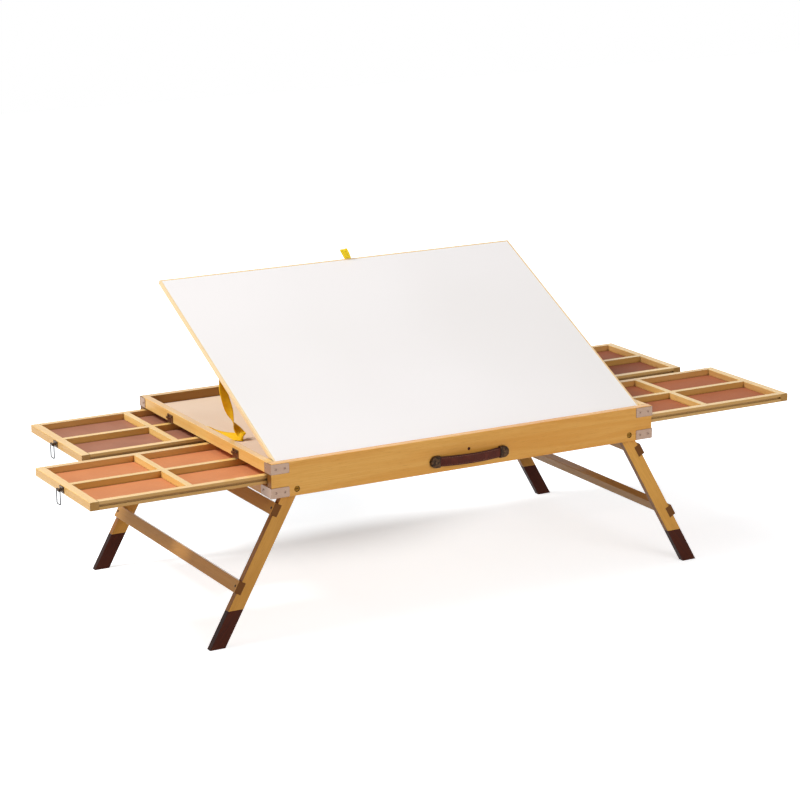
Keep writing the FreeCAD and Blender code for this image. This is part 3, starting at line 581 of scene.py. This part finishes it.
# %% Dark stain on the feet
SCUFF_HEIGHT = 0.014
dark_stain, tree, shader = new_finish("dark_stain")
place = place_of(tree)
along, across = along_board(tree, place, stored(tree, "grain_way"))
squeezed = vcalc(tree, "ADD", across, vcalc(tree, "SCALE", along, 0.05))
streaks = step(tree, noise(tree, squeezed, 380.0, 3.0), 0.35, 0.70)
near_floor = step(tree, split(tree, place)[2], 0.0, SCUFF_HEIGHT, 1.0, 0.0)
scuffs = step(tree, noise(tree, place, 160.0, 4.0), 0.52, 0.64)
facing, edge = eased_edges(tree, WOOD_EDGE)
worn = calc(tree, "MAXIMUM", calc(tree, "MULTIPLY", near_floor, scuffs),
            calc(tree, "MULTIPLY", edge, 0.5))
colour = blend_colour(tree, calc(tree, "MULTIPLY", streaks, 0.6), hue("3E1607"), hue("52220E"))
colour = blend_colour(tree, calc(tree, "MULTIPLY", worn, 0.35), colour, hue("7A4A2E"))
# The sides that look along X are darkened further: painted shade.
shaded_narrow_sides = sides_that_look(tree, (1, 0, 0), out_high=0.75)
fill(shader.inputs["Base Color"], blend_colour(tree, shaded_narrow_sides, colour, hue("1A0A04")))
fill(shader.inputs["Roughness"], step(tree, streaks, 0.0, 1.0, 0.44, 0.56))
fill(shader.inputs["Specular IOR Level"], 0.12)
raise_surface(tree, shader, streaks, 0.0001, 0.4, facing)
for name in ("left_feet", "right_feet", "panel_plugs"):
    board_count += mark_boards(nodes[name], board_count)
    dress(nodes[name], dark_stain)

# %% [markdown]
# ## Metal
# Seven metals are on the table: bronze on the latch plates and screws, a browner one on the
# keepers and a darker one on the handle caps, blackened wire on the latches' bails, brushed warm
# steel on the corner bands, plated steel on pins and hinges, and dull brass on the leg bolts.
# Their edges are worn, or on the bands and bolts darker. The same edge mask as on the wood finds
# those, so it works on flat solids too. The brushed bands also get fine level scratches.

# %% Metal materials
def metal_finish(name, colour, worn_colour, roughness, edge_colour=None, brushed=0.0, wear=0.6,
                 metallic=1.0, ease=0.0004, gloss=0.5):
    """Metal with a mottled tone, worn edges and, if wished, brushing."""
    material, tree, shader = new_finish(name)
    place = place_of(tree)
    mottle = step(tree, noise(tree, place, 150.0, 4.0), 0.38, 0.68)
    facing, edge = eased_edges(tree, ease)
    scratches = noise(tree, vcalc(tree, "MULTIPLY", place, (60.0, 60.0, 2600.0)), 1.0, 3.0)
    patches = calc(tree, "ADD", calc(tree, "MULTIPLY", mottle, 0.30 * (1 - brushed)),
                   calc(tree, "MULTIPLY", scratches, 0.5 * brushed))
    base = blend_colour(tree, patches, hue(colour), hue(worn_colour))
    worn = calc(tree, "MULTIPLY", edge, wear)
    base = blend_colour(tree, worn, base, hue(edge_colour or worn_colour))
    fill(shader.inputs["Base Color"], base)
    fill(shader.inputs["Metallic"], metallic)
    fill(shader.inputs["Specular IOR Level"], gloss)
    scratched = calc(tree, "MULTIPLY", scratches, 0.1 + brushed * 0.2)
    fill(shader.inputs["Roughness"], calc(tree, "ADD", roughness, scratched))
    height = calc(tree, "ADD", calc(tree, "MULTIPLY", scratches, brushed),
                  calc(tree, "MULTIPLY", mottle, 0.3))
    raise_surface(tree, shader, height, 0.00006, 0.4, facing)
    return material


dark_bronze = metal_finish("dark_bronze", "3A2A20", "9A7C58", 0.30)
keeper_bronze = metal_finish("keeper_bronze", "5E3A22", "C08A58", 0.34, metallic=0.6, gloss=0.4)
cap_bronze = metal_finish("cap_bronze", "241710", "8A6440", 0.40, metallic=0.7, gloss=0.3)
band_steel = metal_finish("band_steel", "9E7D67", "D2BBA8", 0.34, "4A3020", brushed=0.8, wear=0.7,
                          metallic=0.35, ease=0.0009)
plated_steel = metal_finish("plated_steel", "9A9286", "CBC5BB", 0.28)
dull_brass = metal_finish("dull_brass", "6A4714", "A88040", 0.38, "2E1C08")
black_wire = metal_finish("black_wire", "0E0A08", "2A2018", 0.55, wear=0.2, metallic=0.0,
                          gloss=0.12)
PLATE_NODES = [n for n in nodes if n.endswith("_latch_plate")]
BAIL_NODES = [n for n in nodes if n.endswith("_latch_bail")]
BAND_NODES = ["upper_corner_bands", "lower_corner_bands"]
PIN_NODES = ["lid_pins", "strap_lid_plates", "prop_hinges", "prop_foot_rod"]
for names, material in ((BAND_NODES, band_steel), (PIN_NODES, plated_steel),
                        (["leg_pivot_bolts"], dull_brass), (["latch_keepers"], keeper_bronze),
                        (PLATE_NODES + ["handle_caps"], dark_bronze), (BAIL_NODES, black_wire)):
    for name in names:
        dress(nodes[name], material)

# %% [markdown]
# ## Screws
# Every band, keeper, cap and leg rail is held by small cross-head screws. The solids only mark
# where they are, with plain many-sided heads. Each could be a lathe shape with a cross cut out
# of it, but a disc of points whose height is worked out gives dome and cross at once, and stays
# light. One such head is laid on every place that the solids mark.

# %% The head of a cross-head screw
SCREW_RADIUS = 0.0028
SCREW_CROWN = 0.0013
CROSS_REACH = 0.62
CROSS_WIDTH = 0.13
CROSS_FLOOR = SCREW_CROWN * 0.45
DOME_POWER = 2.6
RINGS = 11
SPOKES = 40
SCREW_TURN = 1.7


def screw_head_points():
    """Points of a domed head with a cross recess, facing along Z, and its faces."""
    points = [(0, 0, CROSS_FLOOR)]
    for ring in range(1, RINGS + 1):
        share = ring / RINGS
        for spoke in range(SPOKES):
            turn = 2 * math.pi * spoke / SPOKES
            x, y = math.cos(turn) * share, math.sin(turn) * share
            dome = SCREW_CROWN * math.sqrt(max(0.0, 1 - share ** DOME_POWER))
            in_cross = min(abs(x), abs(y)) < CROSS_WIDTH and share < CROSS_REACH
            points.append((x * SCREW_RADIUS, y * SCREW_RADIUS, CROSS_FLOOR if in_cross else dome))
    faces = [(0, 1 + s, 1 + (s + 1) % SPOKES) for s in range(SPOKES)]
    faces += [(a, d, c, b) for a, b, c, d in ring_quads(1, RINGS, SPOKES)]
    return points, faces


def solid_places(name):
    """Middle and thin direction, pointing away from the table, of each solid of a node."""
    mesh = nodes[name].data
    found = {}
    for face, solid in zip(mesh.polygons, separate_solids(mesh)):
        corners = (tuple(round(c, 6) for c in mesh.vertices[i].co) for i in face.vertices)
        found.setdefault(solid, set()).update(corners)
    places = []
    for points in found.values():
        points = np.array(sorted(points))
        middle = points.mean(0)
        thin = np.linalg.eigh(np.cov((points - middle).T))[1][:, 0]
        if thin @ (middle - np.array((0, CASE_MIDDLE_Y, middle[2]))) < 0:
            thin = -thin
        depth = (points - middle) @ thin
        places.append((Vector(middle + thin * depth.min()), Vector(thin)))
    return places


def lay_screws(name, places, steel_if=lambda middle: False):
    """One object with a screw head on each place, every cross turned its own way."""
    head_points, head_faces = screw_head_points()
    points, faces, kinds = [], [], []
    for number, (middle, out) in enumerate(places):
        kinds += [1 if steel_if(middle) else 0] * len(head_faces)
        own_turn = Matrix.Rotation(number * SCREW_TURN, 3, "Z")
        turned = out.to_track_quat("Z", "Y").to_matrix() @ own_turn
        faces += [tuple(i + len(points) for i in face) for face in head_faces]
        points += [tuple(middle + turned @ Vector(p)) for p in head_points]
    screws = built(name, points, faces)
    dress(screws, dark_bronze)
    screws.data.materials.append(band_steel)
    screws.data.polygons.foreach_set("material_index", kinds)
    return screws


# %% Lay the screws where the solids mark them
BAND_ZONE = (0.39, 0.26)
PLATE_THICKNESS = 0.0015
SCREW_INSET = 0.0034


def on_a_band(middle):
    """Whether a screw sits at a corner of the case, where the steel bands are."""
    near_end = abs(middle.x) > BAND_ZONE[0] and abs(middle.y - CASE_MIDDLE_Y) > BAND_ZONE[1]
    return near_end and middle.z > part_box("front_panel")[0].z


for node, body in (("case_screws", "case"), ("left_leg_screws", "left_leg_frame"),
                   ("right_leg_screws", "right_leg_frame")):
    screws = lay_screws("cross_head_" + node, solid_places(node), on_a_band)
    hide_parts(node)
    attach(screws, body)

for corner in ("front_left", "back_left", "front_right", "back_right"):
    low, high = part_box(corner + "_latch_plate")
    outward = 1 if high.x > 0 else -1
    drawer_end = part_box(corner + "_drawer_frame")[1 if outward > 0 else 0].x
    plate_x, plate_z = drawer_end + outward * PLATE_THICKNESS, (low.z + high.z) / 2
    places = [(Vector((plate_x, y, plate_z)), Vector((outward, 0, 0)))
              for y in (low.y + SCREW_INSET, high.y - SCREW_INSET)]
    screws = lay_screws(corner + "_plate_screws", places)
    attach(screws, corner + "_drawer")

# %% [markdown]
# ## Webbing
# The strap that stops the board is yellow woven webbing. It hangs slack from under the board's
# edge, curls over on the compartment floor and comes back to the rail, where it is fixed. A cloth
# simulation could find such a shape, but a strap with a known path is simpler to build directly:
# a smooth line, a flat section carried along it, and a weave in the material.

# %% Lines and flat bands
CURVE_STEPS = 24
SELVEDGE = 0.9
SELVEDGE_SHARE = 0.6


def smooth_line(points, count):
    """Points spread evenly along a smooth curve through the given ones, and its length."""
    points = [Vector(p) for p in points]
    ends = [points[0] * 2 - points[1]] + points + [points[-1] * 2 - points[-2]]
    dense = []
    for a, b, c, d in zip(ends, ends[1:], ends[2:], ends[3:]):
        for k in range(CURVE_STEPS):
            t = k / CURVE_STEPS
            dense.append(0.5 * ((2 * b) + (c - a) * t + (2 * a - 5 * b + 4 * c - d) * t ** 2
                                + (3 * b - a - 3 * c + d) * t ** 3))
    dense.append(points[-1])
    reach = [0.0]
    for p, q in zip(dense, dense[1:]):
        reach.append(reach[-1] + (q - p).length)
    line, at = [], 0
    for k in range(count):
        goal = reach[-1] * k / (count - 1)
        while at < len(reach) - 2 and reach[at + 1] < goal:
            at += 1
        span = reach[at + 1] - reach[at]
        line.append(dense[at].lerp(dense[at + 1], (goal - reach[at]) / span if span else 0))
    return line, reach[-1]


def carried_section(name, line, width_ways, section):
    """A closed body: a section of (across, out) points carried along a line.

    Each point also stores its place on the strip, across and along, for its material."""
    count, around = len(line), len(section)
    verts, strip_places = [], []
    travelled = 0.0
    for i, (point, way) in enumerate(zip(line, width_ways)):
        along = (line[min(i + 1, count - 1)] - line[max(i - 1, 0)]).normalized()
        way = (way - along * way.dot(along)).normalized()
        normal = along.cross(way)
        travelled += (point - line[i - 1]).length if i else 0.0
        for across, out in section:
            verts.append(tuple(point + way * across + normal * out))
            strip_places += [across, travelled, out]
    faces = ring_quads(0, count, around)
    faces.append(tuple(range(around))[::-1])
    faces.append(tuple((count - 1) * around + k for k in range(around)))
    body = built(name, verts, faces)
    strip_place = body.data.attributes.new("strip_place", "FLOAT_VECTOR", "POINT")
    strip_place.data.foreach_set("vector", strip_places)
    for face in body.data.polygons:
        face.use_smooth = len(face.vertices) == 4
    return body


def band_section(width, thickness, columns=10):
    """A flat section with thinner selvedges."""
    upper = []
    for k in range(columns + 1):
        share = k / columns * 2 - 1
        fullness = 1.0 if abs(share) < SELVEDGE else SELVEDGE_SHARE
        upper.append((share * width / 2, thickness / 2 * fullness))
    return upper + [(across, -out) for across, out in reversed(upper)]


# %% Webbing material
SATIN = 0.35
RIB_WIDTH = 0.0015
PICK_LENGTH = 0.0012
PICK_SHIFT = 1.6


def webbing_finish(name, bright, shade):
    """Ribbed webbing crossed by fine picks, thin enough to glow with the light behind it."""
    material, tree, shader = new_finish(name)
    place = stored(tree, "strip_place")
    across, along = split(tree, place)[:2]
    ribs = calc(tree, "SINE", calc(tree, "MULTIPLY", across, 2 * math.pi / RIB_WIDTH))
    offset = calc(tree, "MULTIPLY", calc(tree, "SIGN", ribs), PICK_SHIFT)
    picks = calc(tree, "MULTIPLY", along, 2 * math.pi / PICK_LENGTH)
    picks = calc(tree, "SINE", calc(tree, "ADD", picks, offset))
    height = calc(tree, "ADD", calc(tree, "MULTIPLY", calc(tree, "ABSOLUTE", ribs), 0.6),
                  calc(tree, "MULTIPLY", picks, 0.4))
    fuzz = noise(tree, place, 700.0)
    # The shade colour is painted into the weave's hollows and in soft patches: painted shade.
    share = calc(tree, "ADD", calc(tree, "MULTIPLY", height, -0.35),
                 calc(tree, "MULTIPLY", fuzz, 0.6), clamp=True)
    fill(shader.inputs["Base Color"], blend_colour(tree, share, hue(bright), hue(shade)))
    fill(shader.inputs["Roughness"], 0.55)
    fill(shader.inputs["Specular IOR Level"], 0.2)
    fill(shader.inputs["Metallic"], SATIN)
    fill(shader.inputs["Subsurface Weight"], 0.8)
    fill(shader.inputs["Subsurface Radius"], (1.0, 0.8, 0.12))
    fill(shader.inputs["Subsurface Scale"], 0.004)
    raise_surface(tree, shader, height, 0.00025, 0.8)
    return material


# The strap's webbing is an oranger copy of the tab's, for the shade under the board: painted shade.
shaded_strap_webbing = webbing_finish("shaded_strap_webbing", "FFCA1C", "F3A00A")
tab_webbing = webbing_finish("tab_webbing", "FFDA28", "F0BC12")

# %% [markdown]
# The strap's path is written as shares, so it follows the board and the case if their sizes
# change: how far up to the board, how far in from the rail, how far it sways to the front, and
# how many quarter turns it has made, level and leaning. At the board its width looks across the
# table. It turns over on the way down, bends back where it meets the compartment floor, leans
# there on one edge, and stands flat against the rail at its end.

# %% The left and the right strap
STRAP_WIDTH = 0.017
STRAP_THICKNESS = 0.0014
STRAP_SHARES = ((1.0, 0.185, 0.0, 0.86, 0.0), (0.802, 0.199, 0.007, 0.98, 0.0),
                (0.647, 0.274, 0.052, 1.12, 0.0), (0.492, 0.391, 0.043, 1.40, 0.0),
                (0.368, 0.489, 0.016, 1.80, 0.0), (0.259, 0.601, -0.002, 2.30, 0.0),
                (0.166, 0.719, 0.061, 2.75, -0.22), (0.099, 0.807, 0.177, 3.00, -0.45),
                (0.072, 0.850, 0.270, 3.02, -0.58), (0.063, 0.844, 0.337, 2.95, -0.60),
                (0.060, 0.779, 0.341, 2.88, -0.60), (0.054, 0.705, 0.248, 2.78, -0.58),
                (0.044, 0.558, -0.038, 2.70, -0.48), (0.034, 0.430, -0.359, 2.66, -0.38),
                (0.034, 0.283, -0.662, 2.65, -0.36), (0.042, 0.150, -0.859, 2.70, -0.46),
                (0.055, 0.066, -0.984, 2.85, -0.72), (0.063, 0.014, -1.109, 3.00, -0.93),
                (0.065, 0.0, -1.252, 3.0, -1.0))
STRAP_GAP = 0.0003
STRAP_REACH = 0.051
STRAP_SWAY = 0.056
STRAP_ALONG = 0.268
STRAP_STEPS = 130
LEVELLED_STEPS = 7
BOARD_TILT = math.radians(26.7)
BOARD_THICKNESS = 0.009
rail_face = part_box("left_top_rail")[1].x
floor_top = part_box("compartment_floor")[1].z
hinge = Vector(next(j for j in frame["joints"] if j["name"] == "lid_tilt")["pos_m"])


def strap_point(rise, reach, sway):
    """A point of the left strap's middle line, from shares."""
    clear = STRAP_GAP + STRAP_THICKNESS / 2
    low = floor_top + clear
    high = (hinge.z + STRAP_ALONG * math.sin(BOARD_TILT)
            - (BOARD_THICKNESS / 2 + STRAP_GAP) / math.cos(BOARD_TILT))
    return Vector((rail_face + clear + reach * STRAP_REACH,
                   hinge.y + STRAP_ALONG * math.cos(BOARD_TILT) - sway * STRAP_SWAY,
                   low + rise * (high - low)))


strap_stations = [strap_point(*row[:3]) for row in STRAP_SHARES]
strap_line, strap_length = smooth_line(strap_stations, STRAP_STEPS)
station_steps = [min(range(STRAP_STEPS), key=lambda i: (strap_line[i] - station).length)
                 for station in strap_stations]
quarters = [np.interp(range(STRAP_STEPS), station_steps, column)
            for column in list(zip(*STRAP_SHARES))[3:]]
turns, leans = (column * math.pi / 2 for column in quarters)
strap_section = band_section(STRAP_WIDTH, STRAP_THICKNESS)
for side, mirror in (("left", 1), ("right", -1)):
    line = [Vector((p.x * mirror, p.y, p.z)) for p in strap_line]
    ways = [Vector((math.sin(turn) * math.cos(lean) * mirror,
                    math.cos(turn) * math.cos(lean), math.sin(lean)))
            for turn, lean in zip(turns, leans)]
    strap = carried_section(side + "_webbing_strap", line, ways, strap_section)
    for i, point in enumerate(strap.data.vertices[:LEVELLED_STEPS * len(strap_section)]):
        ring = i // len(strap_section)
        slope = math.tan(BOARD_TILT) * (1 - ring / LEVELLED_STEPS)
        point.co.z += (point.co.y - line[ring].y) * slope
    dress(strap, shaded_strap_webbing)
    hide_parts(side + "_lid_strap")
    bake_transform(strap)
print("strap length", round(strap_length, 3), "m")

# %% [markdown]
# A short ribbon of the same webbing stands on the board's back edge, as something to pull. Two
# screws hold it there. It folds over above the board, and its loose end comes down in front. It
# leans to one side, as a ribbon does when it has been pulled that way.

# %% The pull tab on the board's back edge
TAB_WIDTH = 0.015
TAB_THICKNESS = 0.0007
TAB_RISE = 0.021
TAB_LEAN = 0.011
TAB_INSET = 0.0005
TAB_STEPS = 90
TAB_FIXED = (0.0006, 0.0048, 0.0086)
TAB_SHARES = ((0.25, 0.0004), (0.5, 0.0012), (0.75, 0.0013), (0.93, 0.0009), (1.0, -0.0003),
              (0.97, -0.0016), (0.8, -0.0026), (0.5, -0.0024), (0.2, -0.0014))
TAB_SCREW_APART = 0.008
board_out = Vector((0, math.cos(BOARD_TILT), math.sin(BOARD_TILT)))
board_up = Vector((0, -math.sin(BOARD_TILT), math.cos(BOARD_TILT)))
edging_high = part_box("lid_edging")[1]
back_corner = Vector((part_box("lid_pull_tab")[1].x - TAB_WIDTH / 2 - TAB_INSET, edging_high.y,
                      edging_high.z - BOARD_THICKNESS * math.cos(BOARD_TILT)))
outer = back_corner + board_out * (TAB_THICKNESS * 0.6)
top_of_board = outer + board_up * BOARD_THICKNESS
tab_points = [outer + board_up * height for height in TAB_FIXED]
tab_points += [top_of_board + Vector((-TAB_LEAN * rise, bulge, TAB_RISE * rise))
               for rise, bulge in TAB_SHARES]
tab_line, tab_length = smooth_line(tab_points, TAB_STEPS)
pull_tab = carried_section("pull_tab_ribbon", tab_line, [Vector((1, 0, 0))] * TAB_STEPS,
                           band_section(TAB_WIDTH, TAB_THICKNESS))
dress(pull_tab, tab_webbing)
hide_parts("lid_pull_tab")
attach(pull_tab, "lid")
tab_middle = outer + board_up * BOARD_THICKNESS / 2 + board_out * TAB_THICKNESS / 2
places = [(tab_middle + Vector((side * TAB_SCREW_APART / 2, 0, 0)), board_out) for side in (-1, 1)]
tab_screws = lay_screws("pull_tab_screws", places)
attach(tab_screws, "lid")
print("tab length", round(tab_length, 3), "m")

# %% [markdown]
# ## Handle
# The handle is a strip of dark red-brown leather over a soft core, bowed a little away from the
# panel, with a row of stitches near each edge and a cast cap on each end. A strip like this could
# be swollen with cloth pressure, but it is stuffed hard and hardly moves, so its crowned section
# is drawn once and carried along the bow.

# %% The leather strip
LEATHER_HEIGHT = 0.020
LEATHER_THICKNESS = 0.004
CAP_LENGTH = 0.021
CAP_DEPTH = 0.0085
HANDLE_BOW = 0.009
LEATHER_STEPS = 70
LEATHER_TUCK = 0.005
front_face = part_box("front_panel")[0].y
cap_low, cap_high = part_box("handle_caps")
handle_level = (cap_low.z + cap_high.z) / 2
cap_inner_x = cap_high.x - CAP_LENGTH
leather_y = front_face - CAP_DEPTH / 2
HALF_FRONT = [(-1.0, 0.10), (-0.985, 0.34), (-0.94, 0.46), (-0.86, 0.47), (-0.78, 0.40),
              (-0.73, 0.36), (-0.68, 0.42), (-0.58, 0.50), (-0.40, 0.55), (-0.20, 0.58),
              (0.0, 0.59)]
HALF_BACK = [(1.0, -0.20), (0.97, -0.40), (0.90, -0.48), (0.0, -0.48)]


def mirrored(half):
    """The other half of an outline, without the point they share."""
    return [(-across, out) for across, out in reversed(half[:-1])]


def bowed_y(x):
    """Where the bowed strip's middle is, at a distance x from the handle's middle."""
    return leather_y - max(0.0, 1 - (x / cap_inner_x) ** 2) * HANDLE_BOW


leather_line = []
for k in range(LEATHER_STEPS + 1):
    x = (2 * k / LEATHER_STEPS - 1) * (cap_inner_x + LEATHER_TUCK)
    leather_line.append(Vector((x, bowed_y(x), handle_level)))
outline = HALF_FRONT + mirrored(HALF_FRONT) + HALF_BACK + mirrored(HALF_BACK)
section = [(across * LEATHER_HEIGHT / 2, out * LEATHER_THICKNESS) for across, out in outline]
leather = carried_section("leather_handle", leather_line,
                          [Vector((0, 0, 1))] * len(leather_line), section)

# %% Leather that shows its grain and its worn edges
RIM_ZONE = (0.0086, 0.0094)


def leather_finish(name, brown, dark, worn):
    """Dyed leather: pebbled grain, fine creases across it and dark, polished edges."""
    material, tree, shader = new_finish(name)
    place = stored(tree, "strip_place")
    pebbles = tree.nodes.new("ShaderNodeTexVoronoi")
    pebbles.feature = "DISTANCE_TO_EDGE"
    jostled = vcalc(tree, "SCALE", (1, 1, 1), noise(tree, place, 300.0))
    fill(pebbles.inputs["Vector"], vcalc(tree, "ADD", place, jostled))
    fill(pebbles.inputs["Scale"], 1100.0)
    grain = step(tree, pebbles.outputs[0], 0.0, 0.16)
    creases = noise(tree, vcalc(tree, "MULTIPLY", place, (1, 7, 1)), 70.0, 4.0)
    creases = step(tree, creases, 0.45, 0.60)
    rim = step(tree, calc(tree, "ABSOLUTE", split(tree, place)[0]), *RIM_ZONE)
    rubbed = step(tree, noise(tree, place, 45.0, 3.0), 0.48, 0.70)
    colour = hue(brown)
    for share, amount, tint in ((creases, 0.4, dark), (rubbed, 0.35, worn), (rim, 0.85, dark)):
        colour = blend_colour(tree, calc(tree, "MULTIPLY", share, amount), colour, hue(tint))
    fill(shader.inputs["Base Color"], colour)
    matt = calc(tree, "SUBTRACT", grain, rubbed)
    fill(shader.inputs["Roughness"], step(tree, matt, -1.0, 1.0, 0.34, 0.56))
    fill(shader.inputs["Specular IOR Level"], 0.16)
    height = calc(tree, "SUBTRACT", calc(tree, "MULTIPLY", grain, 0.6),
                  calc(tree, "MULTIPLY", creases, 0.3))
    raise_surface(tree, shader, height, 0.00012, 0.7)
    return material


dress(leather, leather_finish("handle_leather", "4E1A0A", "270C04", "74301A"))
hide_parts("handle_strap")
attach(leather, "case")

# %% [markdown]
# Each stitch is a short bead of waxed thread that dips into the leather at both ends. One bead
# is drawn with a few rings and repeated along both edges, so the row keeps an even step.

# %% Stitches along the leather
STITCH_STEP = 0.0034
STITCH_LENGTH = 0.0024
STITCH_RADIUS = 0.00032
STITCH_LINE = 0.73 * LEATHER_HEIGHT / 2
STITCH_OUT = 0.38 * LEATHER_THICKNESS
STITCH_DIP = 1.3
STITCH_END = 0.004
BEAD_SIDES = 8
thread, tree, shader = new_finish("waxed_thread")
place = place_of(tree)
strands = noise(tree, vcalc(tree, "MULTIPLY", place, (1800, 900, 900)), 1.0, 1.0)
fill(shader.inputs["Base Color"], blend_colour(tree, strands, hue("6E4630"), hue("A0785A")))
fill(shader.inputs["Roughness"], 0.55)
raise_surface(tree, shader, strands, 0.0001, 0.5)


def bead(middle, along, out):
    """Rings of one stitch, thin and low at its ends."""
    side = along.cross(out)
    rings = []
    for share, fat in ((-1.0, 0.15), (-0.8, 0.7), (-0.3, 1.0),
                       (0.3, 1.0), (0.8, 0.7), (1.0, 0.15)):
        dip = STITCH_RADIUS * share ** 4 * STITCH_DIP
        centre = middle + along * (share * STITCH_LENGTH / 2) - out * dip
        rings.append([centre + (side * math.cos(t) + out * math.sin(t)) * STITCH_RADIUS * fat
                      for t in (2 * math.pi * k / BEAD_SIDES for k in range(BEAD_SIDES))])
    return rings


points, faces = [], []
stitched = cap_inner_x - STITCH_END
for k in range(int(2 * stitched / STITCH_STEP) + 1):
    x = -stitched + k * STITCH_STEP
    slope = Vector((1, 2 * HANDLE_BOW * x / cap_inner_x ** 2, 0)).normalized()
    out = Vector((slope.y, -slope.x, 0))
    for sign in (-1, 1):
        middle = Vector((x, bowed_y(x), handle_level + sign * STITCH_LINE)) + out * STITCH_OUT
        rings = bead(middle, slope, out)
        faces += ring_quads(len(points), len(rings), BEAD_SIDES)
        points += [tuple(point) for ring in rings for point in ring]
stitches = built("handle_stitches", points, faces)
for face in stitches.data.polygons:
    face.use_smooth = True
dress(stitches, thread)
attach(stitches, "case")

# %% [markdown]
# The caps are small castings with one round end, a soft shoulder and a shallow groove round the
# screw. A modelled block with a bevel would need its groove cut in. Rings of the same outline,
# each a little further in and at its own height, give shoulder and groove in one pass.

# %% Cast caps on the handle's ends
CAP_PROFILE = ((0.0, 0.0), (0.0, 0.0054), (0.0003, 0.0066), (0.0010, 0.0077), (0.0020, 0.0083),
               (0.0030, 0.0085), (0.0040, 0.0084), (0.0046, 0.0079), (0.0054, 0.0079),
               (0.0060, 0.0084), (0.0070, 0.0085))
ARC_STEPS = 28
cap_half = (cap_high.z - cap_low.z) / 2
points, faces = [], []
for side in (-1, 1):
    start = len(points)
    for inset, rise in CAP_PROFILE:
        radius = cap_half - inset
        ring = [(cap_inner_x + inset, -radius)]
        for k in range(ARC_STEPS + 1):
            turn = math.pi * (k / ARC_STEPS - 0.5)
            ring.append((cap_high.x - cap_half + radius * math.cos(turn), radius * math.sin(turn)))
        ring.append((cap_inner_x + inset, radius))
        points += [(side * x, front_face - rise, handle_level + z) for x, z in ring]
    around = len(ring)
    cap_faces = ring_quads(start, len(CAP_PROFILE), around)
    cap_faces.append(tuple(range(len(points) - around, len(points))))
    faces += [face[::side] for face in cap_faces]
castings = built("handle_castings", points, faces)
dress(castings, cap_bronze)
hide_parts("handle_caps")
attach(castings, "case")
